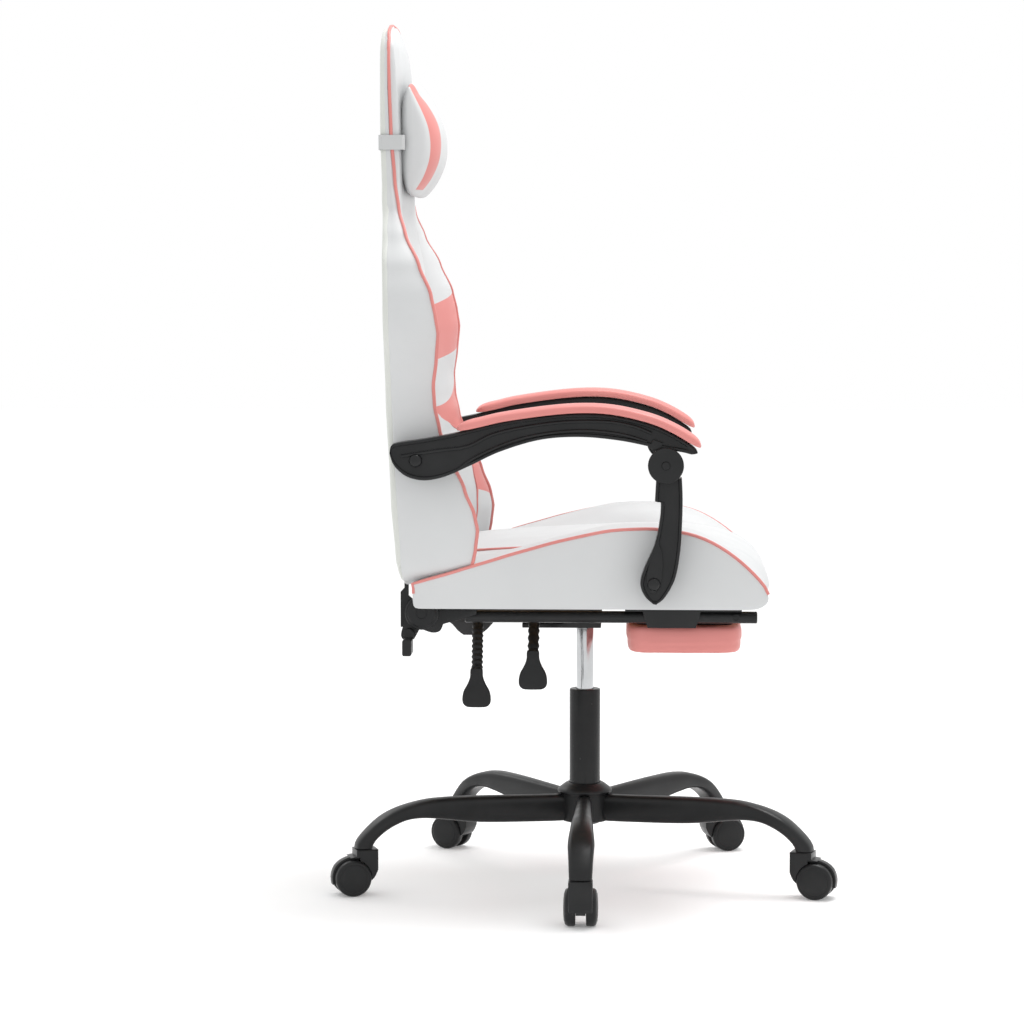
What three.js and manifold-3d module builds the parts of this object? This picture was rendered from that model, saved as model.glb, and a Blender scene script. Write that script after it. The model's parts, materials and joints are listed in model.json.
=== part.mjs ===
// Gaming chair with a five-star base, gas lift, reclining back, linked armrests and a pull-out footrest.
// Millimetres, +Z up. The chair faces -Y, so a side profile is written as [forward, height],
// and the sitter's right hand is at -X. The floor is Z = 0.
import * as THREE from 'three';
import { mergeVertices } from 'three/addons/utils/BufferGeometryUtils.js';
import Module from 'manifold-3d';

const wasm = await Module();
wasm.setup();

// Driving sizes
const GAP = 0.3;
const FOOTPRINT_SHIFT = 19;          // the lift axis stands this far from the footprint's middle

const LEG_COUNT = 5;
const LEG_REACH = 338;               // lift axis to caster stem
const LEG_TIP_HEIGHT = 68;
const HUB_BOTTOM = 94;
const HUB_TOP = 150;
const COLUMN_RADIUS = 22.8;
const COLUMN_TOP = 291;
const ROD_RADIUS = 12.6;
const ROD_BOTTOM = 108;
const ROD_TOP = 398;
const STEM_RADIUS = 5.5;              // caster stem

const WHEEL_RADIUS = 26.5;
const WHEEL_INNER = 7.4;             // centre line to a wheel's inner face
const WHEEL_OUTER = 24.4;
const WHEEL_TRAIL = 18;              // wheel axle behind the caster stem
const AXLE_RADIUS = 3.9;
const CASTER_TURNS = [0, -106, -72, 60, 108];   // where each caster has swung to, in degrees

const BOARD_BOTTOM = 433;
const BOARD_TOP = 444.6;
const ROCK_AXIS = [10, 409];
const RECLINE_AXIS = [-227, 426.5];
const ARM_AXIS = [-231.6, 645.7];
const ELBOW_AXIS = [116.5, 639.6];
const LINK_AXIS = [100.5, 474];
const LEVER_HEIGHT = 408;
const HEIGHT_LEVER_AT = -72;
const TILT_LEVER_AT = -153;
const RECLINE_LEVER_AXIS = [-246, 396];

const SEAT_HALF_WIDTH = 245;
const BACK_SIDE = 246;                // the back's side face where the armrests are bolted
const ARM_INNER = 252.5;
const ARM_THICKNESS = 31;
const ARM_MIDDLE = ARM_INNER + ARM_THICKNESS / 2;
const PAD_WIDTH = 58;
const BOLT_RADIUS = 5.4;
const BOLT_HOLE = 5.7;

const RAIL_SPACING = 200;
const RAIL_RADIUS = 8.5;
const RAIL_HEIGHT = 419.2;
const RAIL_BACK = -167;
const RAIL_FRONT = 247;
const FLIP_AXIS = [183.6, RAIL_HEIGHT];

const FRAME_TUBE = 7;
const PANEL_THICKNESS = 8;
const ARM_BAR = [206, 211];          // the back frame's lower bars, inner and outer face
const SEAT_PLATE = [214, 219];       // the seat's recliner plates, inner and outer face

// Materials
function material(color, roughness, metalness) {
  return new THREE.MeshStandardMaterial({ color, roughness, metalness });
}
const blackPlastic = material(0x2c2d2e, 0.45, 0);
const blackRubber = material(0x1d1e1f, 0.75, 0);
const blackSteel = material(0x303235, 0.4, 0.6);
const greySteel = material(0x4b4d50, 0.4, 0.7);
const chrome = material(0xc9cccd, 0.15, 1);
const whiteLeather = material(0xf1f2f1, 0.5, 0);
const pinkLeather = material(0xee9c98, 0.5, 0);
const plywood = material(0xb89468, 0.7, 0);
const elastic = material(0xe4e6e5, 0.85, 0);

// Solids: joining, cutting and keeping what two shapes share
function toSolid(geometry) {
  const bare = geometry.clone();
  bare.deleteAttribute('normal');
  bare.deleteAttribute('uv');
  const merged = mergeVertices(bare, 1e-4);
  const vertProperties = new Float32Array(merged.attributes.position.array);
  const triVerts = new Uint32Array(merged.index.array);
  return new wasm.Manifold(new wasm.Mesh({ numProp: 3, vertProperties, triVerts }));
}

function toGeometry(solid) {
  const mesh = solid.getMesh();
  const geometry = new THREE.BufferGeometry();
  geometry.setAttribute('position', new THREE.BufferAttribute(mesh.vertProperties, 3));
  geometry.setIndex(new THREE.BufferAttribute(mesh.triVerts, 1));
  geometry.computeVertexNormals();
  return geometry;
}

function joined(first, ...others) {
  return toGeometry(others.reduce((solid, other) => solid.add(toSolid(other)), toSolid(first)));
}

function cut(first, ...others) {
  return toGeometry(others.reduce((solid, other) => solid.subtract(toSolid(other)), toSolid(first)));
}

function shared(first, second) {
  return toGeometry(toSolid(first).intersect(toSolid(second)));
}

// Shapes
function addRuns(path, runs) {
  path.moveTo(...runs[0][0]);
  for (const run of runs.slice(1)) {
    if (run.length === 1) path.lineTo(...run[0]);
    else path.splineThru(run.map(([x, y]) => new THREE.Vector2(x, y)));
  }
  return path;
}

// A closed outline: a first point, then runs. A run of one point is straight, a longer one is a smooth curve.
function outline(start, ...runs) {
  return addRuns(new THREE.Shape(), [[start], ...runs]);
}

function roundedBox(x0, y0, x1, y1, radius) {
  const shape = new THREE.Shape();
  shape.moveTo(x0 + radius, y0);
  shape.lineTo(x1 - radius, y0);
  shape.absarc(x1 - radius, y0 + radius, radius, -Math.PI / 2, 0);
  shape.lineTo(x1, y1 - radius);
  shape.absarc(x1 - radius, y1 - radius, radius, 0, Math.PI / 2);
  shape.lineTo(x0 + radius, y1);
  shape.absarc(x0 + radius, y1 - radius, radius, Math.PI / 2, Math.PI);
  shape.lineTo(x0, y0 + radius);
  shape.absarc(x0 + radius, y0 + radius, radius, Math.PI, Math.PI * 1.5);
  return shape;
}

function slab(shape, thickness, bevel, curveSegments) {
  const geometry = new THREE.ExtrudeGeometry(shape, {
    depth: thickness - 2 * bevel,
    curveSegments,
    bevelEnabled: bevel > 0,
    bevelThickness: bevel,
    bevelSize: bevel,
    bevelOffset: -bevel,
    bevelSegments: bevel > 6 ? 2 : 1,
  });
  return geometry.translate(0, 0, bevel - thickness / 2);
}

const SIDE_BASIS = new THREE.Matrix4().makeBasis(
  new THREE.Vector3(0, -1, 0), new THREE.Vector3(0, 0, 1), new THREE.Vector3(-1, 0, 0));
const FRONT_BASIS = new THREE.Matrix4().makeBasis(
  new THREE.Vector3(1, 0, 0), new THREE.Vector3(0, 0, 1), new THREE.Vector3(0, -1, 0));

// A [forward, height] outline made from x = from to x = to
function sideSlab(shape, from, to, bevel = 0, curveSegments = 3) {
  const geometry = slab(shape, Math.abs(to - from), bevel, curveSegments);
  return geometry.applyMatrix4(SIDE_BASIS).translate((from + to) / 2, 0, 0);
}

// An [across, height] outline made from one forward place to another
function frontSlab(shape, from, to, curveSegments = 3) {
  const geometry = slab(shape, Math.abs(to - from), 0, curveSegments);
  return geometry.applyMatrix4(FRONT_BASIS).translate(0, -(from + to) / 2, 0);
}

// An [across, forward] outline made from one height to another
function flatSlab(shape, from, to, bevel = 0, curveSegments = 6) {
  const geometry = slab(shape, to - from, bevel, curveSegments);
  return geometry.applyMatrix4(new THREE.Matrix4().makeScale(1, -1, -1)).translate(0, 0, (from + to) / 2);
}

// A rod across the chair about a [forward, height] axis
function crossRod([forward, height], radius, from, to, sides = 16) {
  const geometry = new THREE.CylinderGeometry(radius, radius, Math.abs(to - from), sides);
  return geometry.rotateZ(Math.PI / 2).translate((from + to) / 2, -forward, height);
}

// A rod that runs forwards at one [x, height] place
function forwardRod([x, height], radius, from, to, sides = 16) {
  const geometry = new THREE.CylinderGeometry(radius, radius, to - from, sides);
  return geometry.translate(x, -(from + to) / 2, height);
}

function block(x0, x1, forward0, forward1, z0, z1) {
  const geometry = new THREE.BoxGeometry(x1 - x0, forward1 - forward0, z1 - z0);
  return geometry.translate((x0 + x1) / 2, -(forward0 + forward1) / 2, (z0 + z1) / 2);
}

function upright(profile, sides) {
  const points = profile.map(([radius, height]) => new THREE.Vector2(radius, height));
  return new THREE.LatheGeometry(points, sides).rotateX(Math.PI / 2);
}

// A tube through [x, forward, height] points
function tube(points, radius, sides, steps, closed = false) {
  const curve = new THREE.CatmullRomCurve3(
    points.map(([x, forward, height]) => new THREE.Vector3(x, -forward, height)), closed, 'centripetal');
  const section = new THREE.Shape();
  for (let side = 0; side < sides; side += 1) {
    const angle = (side / sides) * Math.PI * 2;
    const place = [radius * Math.cos(angle), radius * Math.sin(angle)];
    if (side === 0) section.moveTo(...place);
    else section.lineTo(...place);
  }
  return new THREE.ExtrudeGeometry(section, { steps, extrudePath: curve, bevelEnabled: false });
}

function add(parent, name, geometry, finish) {
  const mesh = new THREE.Mesh(geometry, finish);
  mesh.name = name;
  parent.add(mesh);
  return mesh;
}

const chair = new THREE.Group();
const SIDES = [['right', -1], ['left', 1]];

// A piece modelled on the left, at +X, is turned over to the right by mirroring it
function onSide(geometry, sign) {
  if (sign > 0) return geometry;
  const mirrored = toSolid(geometry).mirror([1, 0, 0]);
  return toGeometry(mirrored);
}

// Star base: a hub with five legs that run level, then curve down to the caster sockets
function legGeometry() {
  const side = outline([20, 134],
    [[69, 134], [161, 136.5], [222, 137], [255, 134], [287, 125.5], [312, 112.5], [333, 95], [348, 80]],
    [[351, LEG_TIP_HEIGHT]], [[326, LEG_TIP_HEIGHT]],
    [[322, 78], [312, 87], [296, 97.5], [280, 104.5], [263, 108.5], [238, 108], [189, 101], [161, 98],
      [69, HUB_BOTTOM]],
    [[20, 94]]);
  const plan = outline([10, -14], [[70, -12], [160, -13], [255, -15.5], [305, -19], [340, -17]],
    [[356, -15]], [[356, 15]], [[340, 17], [305, 19], [255, 15.5], [160, 13], [70, 12], [10, 14]]);
  const sideCut = slab(side, 60, 0, 1).rotateX(Math.PI / 2);
  const planCut = slab(plan, 300, 0, 1).translate(0, 0, 100);
  return shared(sideCut, planCut);
}

function starBase() {
  const hub = upright([[0, HUB_BOTTOM], [35.5, HUB_BOTTOM], [36, 134], [40, 137], [40, 141],
    [28, HUB_TOP], [0, HUB_TOP]], 28);
  const legs = [];
  const sockets = [];
  for (let index = 0; index < LEG_COUNT; index += 1) {
    const angle = Math.PI + (index / LEG_COUNT) * Math.PI * 2;
    legs.push(legGeometry().rotateZ(angle));
    const socketRadius = STEM_RADIUS + GAP;
    const socket = new THREE.CylinderGeometry(socketRadius, socketRadius, 40, 16).rotateX(Math.PI / 2);
    const [x, y] = [LEG_REACH * Math.cos(angle), LEG_REACH * Math.sin(angle)];
    sockets.push(socket.translate(x, y, LEG_TIP_HEIGHT - 5));
  }
  const boreRadius = COLUMN_RADIUS + 0.4;
  const bore = new THREE.CylinderGeometry(boreRadius, boreRadius, 200, 28).rotateX(Math.PI / 2);
  return cut(joined(hub, ...legs), bore.translate(0, 0, 120), ...sockets);
}

function gasColumn() {
  const bore = ROD_RADIUS + 0.5;
  return upright([[0, HUB_BOTTOM - 4], [COLUMN_RADIUS, HUB_BOTTOM - 4], [COLUMN_RADIUS, COLUMN_TOP - 1.5],
    [COLUMN_RADIUS - 1.5, COLUMN_TOP], [bore, COLUMN_TOP], [bore, ROD_BOTTOM - 2], [0, ROD_BOTTOM - 2]], 28);
}

function gasPiston() {
  return upright([[0, ROD_BOTTOM], [ROD_RADIUS, ROD_BOTTOM], [ROD_RADIUS, ROD_TOP], [0, ROD_TOP]], 28);
}

// Casters, modelled with the stem on the Z axis and the wheels behind it, at +X
function casterHood() {
  const centre = [WHEEL_TRAIL, WHEEL_RADIUS];
  const side = outline([-19, LEG_TIP_HEIGHT - GAP], [[13, LEG_TIP_HEIGHT - GAP]], [[13, 58]],
    [[22, 56.5], [34, 51.5], [43, 43], [47.5, 30], [46.5, 17]], [[40, 19]], [[19, 14]], [[-2, 18]],
    [[-13, 26], [-19, 38]]);
  const body = slab(side, 34, 1.5, 2).rotateX(Math.PI / 2);
  const stem = new THREE.CylinderGeometry(STEM_RADIUS, STEM_RADIUS, 16, 16).rotateX(Math.PI / 2);
  const cuts = [];
  for (const sign of [-1, 1]) {
    const well = new THREE.CylinderGeometry(WHEEL_RADIUS + 1, WHEEL_RADIUS + 1, 30, 20);
    cuts.push(well.translate(centre[0], sign * (15 + WHEEL_INNER - 0.8), centre[1]));
    const outside = new THREE.BoxGeometry(60, 30, 60);
    cuts.push(outside.translate(centre[0] + 20, sign * (15 + WHEEL_INNER - 0.8), centre[1]));
  }
  const bore = new THREE.CylinderGeometry(AXLE_RADIUS + GAP, AXLE_RADIUS + GAP, 60, 16);
  stem.translate(0, 0, LEG_TIP_HEIGHT + 5);
  return cut(joined(body, stem), ...cuts, bore.translate(centre[0], 0, centre[1]));
}

function casterWheel() {
  const profile = [[0, WHEEL_OUTER], [19, WHEEL_OUTER - 0.5], [WHEEL_RADIUS, WHEEL_OUTER - 6],
    [WHEEL_RADIUS, WHEEL_INNER], [AXLE_RADIUS + 0.15, WHEEL_INNER], [AXLE_RADIUS + 0.15, 20], [0, 20]];
  const points = profile.map(([radius, height]) => new THREE.Vector2(radius, height));
  return new THREE.LatheGeometry(points.reverse(), 20);
}

function addCasters(parent) {
  const hood = casterHood();
  const wheel = casterWheel();
  for (let index = 0; index < LEG_COUNT; index += 1) {
    const angle = Math.PI + (index / LEG_COUNT) * Math.PI * 2;
    const caster = new THREE.Group();
    caster.position.set(LEG_REACH * Math.cos(angle), LEG_REACH * Math.sin(angle), 0);
    caster.rotation.z = THREE.MathUtils.degToRad(CASTER_TURNS[index]);
    parent.add(caster);
    const number = index + 1;
    add(caster, `caster_hood_${number}`, hood, blackPlastic);
    const axle = new THREE.CylinderGeometry(AXLE_RADIUS, AXLE_RADIUS, 39, 16);
    add(caster, `caster_axle_${number}`, axle, greySteel).position.set(WHEEL_TRAIL, 0, WHEEL_RADIUS);
    for (const [letter, turn] of [['a', 0], ['b', Math.PI]]) {
      const mesh = add(caster, `caster_wheel_${number}${letter}`, wheel, blackPlastic);
      mesh.position.set(WHEEL_TRAIL, 0, WHEEL_RADIUS);
      mesh.rotation.x = turn;
    }
  }
}

// Rocking mechanism: a socket on the gas lift, and a pressed channel that rocks on it about a cross axle
function tiltSocket() {
  const body = sideSlab(outline([-32, 384], [[24, 384]], [[24, 406]], [[18, 417]], [[-32, 417]],
    [[-32, 391]], [[-92, 391]], [[-92, 384]]), -32, 32, 0);
  const bore = new THREE.CylinderGeometry(ROD_RADIUS + 0.25, ROD_RADIUS + 0.25, 100, 28).rotateX(Math.PI / 2);
  return cut(body, bore.translate(0, 0, ROD_TOP + GAP - 50), crossRod(ROCK_AXIS, 4.8, -40, 40));
}

function tiltSpring() {
  const points = [];
  const turns = 4;
  const perTurn = 8;
  for (let step = 0; step <= turns * perTurn; step += 1) {
    const angle = (step / perTurn) * Math.PI * 2;
    const height = 394.2 + (27.2 * step) / (turns * perTurn);
    points.push([14 * Math.cos(angle), -66 + 14 * Math.sin(angle), height]);
  }
  return tube(points, 2.4, 5, turns * perTurn);
}

function mechanismPlate() {
  const side = outline([-207, 432.6], [[-207, 414]], [[-204, 400], [-194, 395], [-184, 384], [-176, 378]],
    [[-152, 378]], [[-140, 388], [-128, 402]], [[26, 402]], [[26, 432.6]]);
  const body = sideSlab(side, -75, 75, 0);
  const inside = block(-70, 70, -230, 50, 370, 427.4);
  const holes = [crossRod(ROCK_AXIS, 4.68, -90, 90)];
  for (const forward of [HEIGHT_LEVER_AT, TILT_LEVER_AT]) {
    holes.push(crossRod([forward, LEVER_HEIGHT], 5.2, -90, -60));
  }
  return cut(body, inside, ...holes);
}

// A control lever: a steel rod through the channel's wall, a ribbed grip that bends down, and a paddle
function lever(forward, drop) {
  const rod = crossRod([forward, LEVER_HEIGHT], 4, -84, -62, 16);
  const tip = LEVER_HEIGHT - drop;
  const grip = tube([[-79.5, forward, LEVER_HEIGHT], [-96, forward, LEVER_HEIGHT - 3],
    [-118, forward, LEVER_HEIGHT - 18], [-140, forward, tip + 42], [-150, forward, tip + 22]], 8.5, 8, 8);
  const paddle = outline([-8, 44], [[-9, 34], [-18, 18], [-20.5, 8], [-17, -4], [-8, -9], [0, -9.5],
    [8, -9], [17, -4], [20.5, 8], [18, 18], [9, 34], [8, 44]]);
  const blade = sideSlab(paddle, -5, 5, 2, 2).rotateY(THREE.MathUtils.degToRad(14));
  return joined(rod, grip, blade.translate(-156, -forward, tip));
}

// Seat: a plywood board, and the cushion on it
function seatBoard() {
  return flatSlab(roundedBox(-204, -232, 204, 240, 30), BOARD_BOTTOM, BOARD_TOP);
}

function seatCushion() {
  const side = outline([-243, 454], [[-242, 470]],
    [[-186, 484], [-144, 503], [-88, 520], [-17, 534], [25, 539], [81, 542], [116, 540.5], [151, 534],
      [193, 514], [230, 490], [255, 475], [268, 462]],
    [[268, 448]], [[258, 445]], [[-192, 445]], [[-198, 454]]);
  return sideSlab(side, -SEAT_HALF_WIDTH, SEAT_HALF_WIDTH, 0, 2);
}

// Recliner: a plate under each side of the seat, and a cover disc whose pin carries the back frame
function reclinerPlate() {
  const side = outline([-150, 432.6], [[-192, 432.6]], [[-200, 438], [-210, 443], [-227, 444.4], [-240, 440]],
    [[-252, 414]], [[-257, 396], [-254, 388], [-246, 385.5], [-238, 389]],
    [[-230, 404]], [[-214, 398], [-202, 400], [-197, 410]], [[-150, 424]]);
  const body = sideSlab(side, SEAT_PLATE[0], SEAT_PLATE[1], 0);
  return cut(body, crossRod(RECLINE_AXIS, 6.2, 200, 230));
}

function reclinerDisc() {
  const cover = crossRod(RECLINE_AXIS, 24, SEAT_PLATE[1] + GAP, SEAT_PLATE[1] + 8, 24);
  const rim = crossRod(RECLINE_AXIS, 20, SEAT_PLATE[1] + 7, SEAT_PLATE[1] + 10, 24);
  return joined(cover, rim, crossRod(RECLINE_AXIS, 6, 203, SEAT_PLATE[1] + 4));
}

function reclineLever() {
  const boss = crossRod(RECLINE_LEVER_AXIS, 7.5, -SEAT_PLATE[1] - 7, -SEAT_PLATE[1] - GAP);
  const grip = sideSlab(roundedBox(-252.5, 369, -239.5, 392, 3), -262, -SEAT_PLATE[1] - GAP, 1.5);
  return joined(boss, grip);
}

// Back: a tubular frame in a tray behind the cushion, closed by a rear panel
const BACK_REAR = [[-261, 492], [-264, 505], [-270.5, 586], [-277, 727], [-280, 868], [-284, 965],
  [-288, 1010], [-290, 1108], [-290, 1225]];
const BACK_FRONT = [[-266, 1250], [-260, 1215], [-257.6, 1185], [-257.6, 1040], [-256, 1004], [-243, 962],
  [-224, 917], [-207, 875], [-199, 840], [-197, 822], [-199, 790], [-204, 749], [-203, 721], [-196, 686],
  [-180, 644], [-162, 602], [-149, 566], [-146, 545], [-150, 520], [-166, 500]];
const BACK_TOP = 1262;
const BACK_HALF = [[120, 484], [212, 485], [238, 500], [244, 560], [245, 640], [247, 700], [253, 760],
  [262, 820], [262, 860], [248, 905], [215, 945], [178, 975], [156, 1000], [149, 1040], [148, 1120],
  [145, 1190], [134, 1235], [110, 1256], [60, BACK_TOP]];

function backOutline(inset, bottom) {
  const top = BACK_TOP - inset;
  const right = BACK_HALF.map(([x, z]) => [Math.max(x - inset, 30), THREE.MathUtils.clamp(z, bottom, top)]);
  right[0] = [right[0][0], bottom];
  const left = [...right].reverse().map(([x, z]) => [-x, z]);
  return outline(right[0], right.slice(1), left.slice(0, 1), left.slice(1));
}

function rearBand(from, to, top) {
  const rear = BACK_REAR.map(([forward, height]) => [forward + from, height]);
  const front = [...BACK_REAR].reverse().map(([forward, height]) => [forward + to, height]);
  const foot = [rear[0][0] + 12, 440];
  const footFront = [front[front.length - 1][0] + 12, 440];
  return outline(foot, [rear[0]], rear.slice(1), [[rear[rear.length - 1][0] + 6, top]],
    [[front[0][0], top]], [front[0]], front.slice(1), [footFront]);
}

function backPanel() {
  const band = sideSlab(rearBand(0, PANEL_THICKNESS, 1254), -300, 300, 0, 1);
  return shared(band, frontSlab(backOutline(4, 500), -320, -230, 1));
}

function backCushion() {
  const start = PANEL_THICKNESS + GAP;
  const rear = BACK_REAR.map(([forward, height]) => [forward + start, height]);
  const side = outline([-246, 481], [rear[0]], rear.slice(1), [[-278, 1254], [-271, 1262], [-264, 1250]],
    BACK_FRONT.slice(1), [[-200, 490], [-228, 483], [-246, 481]]);
  const body = shared(sideSlab(side, -300, 300, 0, 1), frontSlab(backOutline(0, 470), -330, -100, 1));
  const tray = shared(sideSlab(rearBand(-10, start + 2 * FRAME_TUBE + 2.2, 1236), -300, 300, 0, 1),
    frontSlab(backOutline(26, 440), -340, -100, 1));
  const troughSide = outline([-100, 430], [[-214, 470]], [[-214, 560], [-212, 640], [-222, 760], [-236, 880],
    [-247, 960], [-258, 1020]], [[-258, 1300]], [[-100, 1300]]);
  const trough = sideSlab(troughSide, -118, 118, 0, 1);
  const slots = SIDES.map(([, sign]) => block(sign * 203 - 12, sign * 203 + 12, -270, -237, 440, 570));
  return cut(body, tray, trough, ...slots);
}

function frameForward(height) {
  const above = BACK_REAR.findIndex(([, z]) => z >= height);
  const [f1, z1] = BACK_REAR[Math.max(above, 1)];
  const [f0, z0] = BACK_REAR[Math.max(above, 1) - 1];
  return f0 + ((f1 - f0) * (height - z0)) / (z1 - z0) + PANEL_THICKNESS + 0.8 + FRAME_TUBE;
}

function backFrame() {
  const half = [[202, 512], [202, 620], [202, 760], [200, 850], [172, 915], [128, 965], [112, 1020],
    [112, 1120], [108, 1190], [80, 1217]];
  const right = half.map(([x, z]) => [x, frameForward(z), z]);
  const left = [...right].reverse().map(([x, forward, z]) => [-x, forward, z]);
  const hoop = tube([...right, ...left], FRAME_TUBE, 6, 38);
  const bars = [560, 700, 840].map((z) => crossRod([frameForward(z), z], 6, -203, 203, 8));
  bars.push(crossRod([frameForward(1020), 1020], 6, -112, 112, 8));
  const side = outline([-252.5, 540], [[-252.5, 461]], [[-258, 455]], [[-258, 405]], [[-240, 405]],
    [[-227, 406.5], [-213, 412], [-207, 426.5], [-213, 441], [-227, 446.5], [-240, 444]],
    [[-246.5, 450]], [[-246.5, 540]]);
  const arms = [];
  for (const [, sign] of SIDES) {
    const bar = sideSlab(side, ARM_BAR[0], ARM_BAR[1], 0);
    arms.push(onSide(cut(bar, crossRod(RECLINE_AXIS, 6.3, 200, 220)), sign));
  }
  return joined(hoop, ...bars, ...arms);
}

// Headrest pillow and the elastic strap that holds it
function headrestPillow() {
  const side = outline([-254, 1172], [[-246, 1179], [-235, 1163], [-220, 1140], [-209, 1116], [-205.5, 1092],
    [-208, 1067], [-218, 1043], [-229, 1027], [-242, 1015], [-254, 1017]]);
  return sideSlab(side, -136, 136, 5, 2);
}

function headrestStrap() {
  const loop = roundedBox(-151.6, -292.6, 151.6, -255, 6);
  loop.holes.push(roundedBox(-150.2, -291.2, 150.2, -256.4, 5));
  return flatSlab(loop, 1080, 1101, 0, 4);
}

// Armrests: a plastic arm from the back's side, its pad, and the link that stands on the seat's side
const ARM_TOP = [[-254, 672], [-216, 676.5], [-170, 685.5], [-108, 700], [-45, 708.5], [3, 712], [46, 708.5],
  [93, 697], [124, 684], [150, 669]];

function armBody() {
  const side = outline([-268, 655], [[-266, 664], ...ARM_TOP], [[162, 660]], [[158, 653]],
    [[140, 658], [101, 664], [53, 674], [-2.6, 679], [-58, 675], [-113.5, 658.5], [-155, 639], [-190, 623.6],
      [-218, 618], [-241, 622], [-259.5, 636], [-268, 655]]);
  const body = sideSlab(side, ARM_INNER, ARM_INNER + ARM_THICKNESS, 0, 1);
  const recess = crossRod(ELBOW_AXIS, 25.5, ARM_INNER - 5, ARM_INNER + ARM_THICKNESS + 5, 32);
  const lugShape = outline([ELBOW_AXIS[0] - 14, 672], [[ELBOW_AXIS[0] - 15, ELBOW_AXIS[1] + 8]],
    [[ELBOW_AXIS[0] - 17, ELBOW_AXIS[1]], [ELBOW_AXIS[0] - 12, ELBOW_AXIS[1] - 12],
      [ELBOW_AXIS[0], ELBOW_AXIS[1] - 17], [ELBOW_AXIS[0] + 12, ELBOW_AXIS[1] - 12],
      [ELBOW_AXIS[0] + 17, ELBOW_AXIS[1]], [ELBOW_AXIS[0] + 15, ELBOW_AXIS[1] + 8]],
    [[ELBOW_AXIS[0] + 14, 672]]);
  const lug = sideSlab(lugShape, ARM_MIDDLE - 6, ARM_MIDDLE + 6, 0);
  return cut(joined(cut(body, recess), lug), crossRod(ELBOW_AXIS, 10, 240, 300),
    crossRod(ARM_AXIS, BOLT_HOLE, 240, 300));
}

function armPad() {
  const lower = ARM_TOP.slice(2).map(([forward, height]) => [forward, height + 3 * GAP]);
  const upper = lower.map(([forward, height]) => [forward + 1.5, height + 12]).reverse();
  const side = outline(lower[0], lower.slice(1), [[163.5, 661]], [[166, 667]], upper.slice(0, 1),
    upper.slice(1, -1), [[-172, 688]]);
  return sideSlab(side, ARM_MIDDLE - PAD_WIDTH / 2, ARM_MIDDLE + PAD_WIDTH / 2, 0, 1);
}

function armLink() {
  const side = outline([102.8, 622], [[101.5, 590]], [[109.8, 588]],
    [[108.5, 565], [101.7, 530], [86.6, 495], [81, 474], [88, 456], [102, 445]],
    [[116, 456], [129.6, 481], [136.4, 516], [139, 551], [140, 592], [138.8, 622]]);
  const from = ARM_MIDDLE - 14.5;
  const to = ARM_MIDDLE + 14.5;
  const body = joined(sideSlab(side, from, to, 0, 1), crossRod(ELBOW_AXIS, 21, from, to, 20));
  const fork = block(ARM_MIDDLE - 6.8, ARM_MIDDLE + 6.8, 80, 150, 612, 680);
  return cut(body, fork, crossRod(ELBOW_AXIS, 5.3, 240, 300), crossRod(LINK_AXIS, BOLT_HOLE, 240, 300));
}

function elbowPin() {
  const face = ARM_INNER + ARM_THICKNESS + GAP;
  const cap = crossRod(ELBOW_AXIS, 25, face, face + 5, 24);
  const step = crossRod(ELBOW_AXIS, 22.5, face + 4, face + 6.5, 24);
  return joined(cap, step, crossRod(ELBOW_AXIS, 5, ARM_MIDDLE - 14, face + 2));
}

function pivotBolt(axis, face) {
  const outer = ARM_INNER + ARM_THICKNESS + GAP;
  const head = crossRod(axis, 8, outer, outer + 4);
  const shank = crossRod(axis, BOLT_RADIUS, face + 2, outer + 1);
  return joined(head, shank, crossRod(axis, 10, face + GAP, ARM_INNER - GAP));
}

// Footrest: two rails that slide in guides, a cross axle, and a pad that turns over on it
function footrestGuide() {
  const side = outline([85, 428], [[92, 405]], [[160, 405]], [[167, 428]], [[225, 428]],
    [[225, 432.6]], [[60, 432.6]], [[60, 428]]);
  const body = sideSlab(side, RAIL_SPACING - 12, RAIL_SPACING + 12, 0);
  return cut(body, forwardRod([RAIL_SPACING, RAIL_HEIGHT], RAIL_RADIUS + GAP, 50, 240));
}

function footrestRail() {
  const rail = forwardRod([RAIL_SPACING, RAIL_HEIGHT], RAIL_RADIUS, RAIL_BACK, RAIL_FRONT);
  return cut(rail, crossRod(FLIP_AXIS, 5.3, 185, 201));
}

function footrestAxle() {
  return crossRod(FLIP_AXIS, 5, -200, 200);
}

function footrestPlate() {
  const plate = flatSlab(roundedBox(-160, 76, 160, 214, 12), 404.4, 407.4);
  const eye = outline([172, 406], [[172.6, 419], [183.6, 430], [194.6, 419], [195, 406]]);
  const eyes = [-150, 150].map((x) => sideSlab(eye, x - 6, x + 6, 0));
  return cut(joined(plate, ...eyes), crossRod(FLIP_AXIS, 5.2, -170, 170));
}

function footrestPad() {
  return flatSlab(roundedBox(-187.5, 60, 187.5, 229, 16), 365, 404, 10, 4);
}

// Assembly
add(chair, 'star_base', starBase(), blackPlastic);
add(chair, 'gas_column', gasColumn(), blackSteel);
add(chair, 'gas_piston', gasPiston(), chrome);
addCasters(chair);
add(chair, 'tilt_socket', tiltSocket(), blackSteel);
add(chair, 'tilt_axle', crossRod(ROCK_AXIS, 4.5, -79, 79), greySteel);
add(chair, 'tilt_spring', tiltSpring(), greySteel);
add(chair, 'mechanism_plate', mechanismPlate(), greySteel);
add(chair, 'height_lever', lever(HEIGHT_LEVER_AT, 82), blackRubber);
add(chair, 'tilt_lever', lever(TILT_LEVER_AT, 108), blackRubber);
add(chair, 'seat_board', seatBoard(), plywood);
add(chair, 'seat_cushion', seatCushion(), whiteLeather);
add(chair, 'recline_lever', reclineLever(), blackPlastic);
add(chair, 'back_frame', backFrame(), blackSteel);
add(chair, 'back_panel', backPanel(), whiteLeather);
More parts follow.
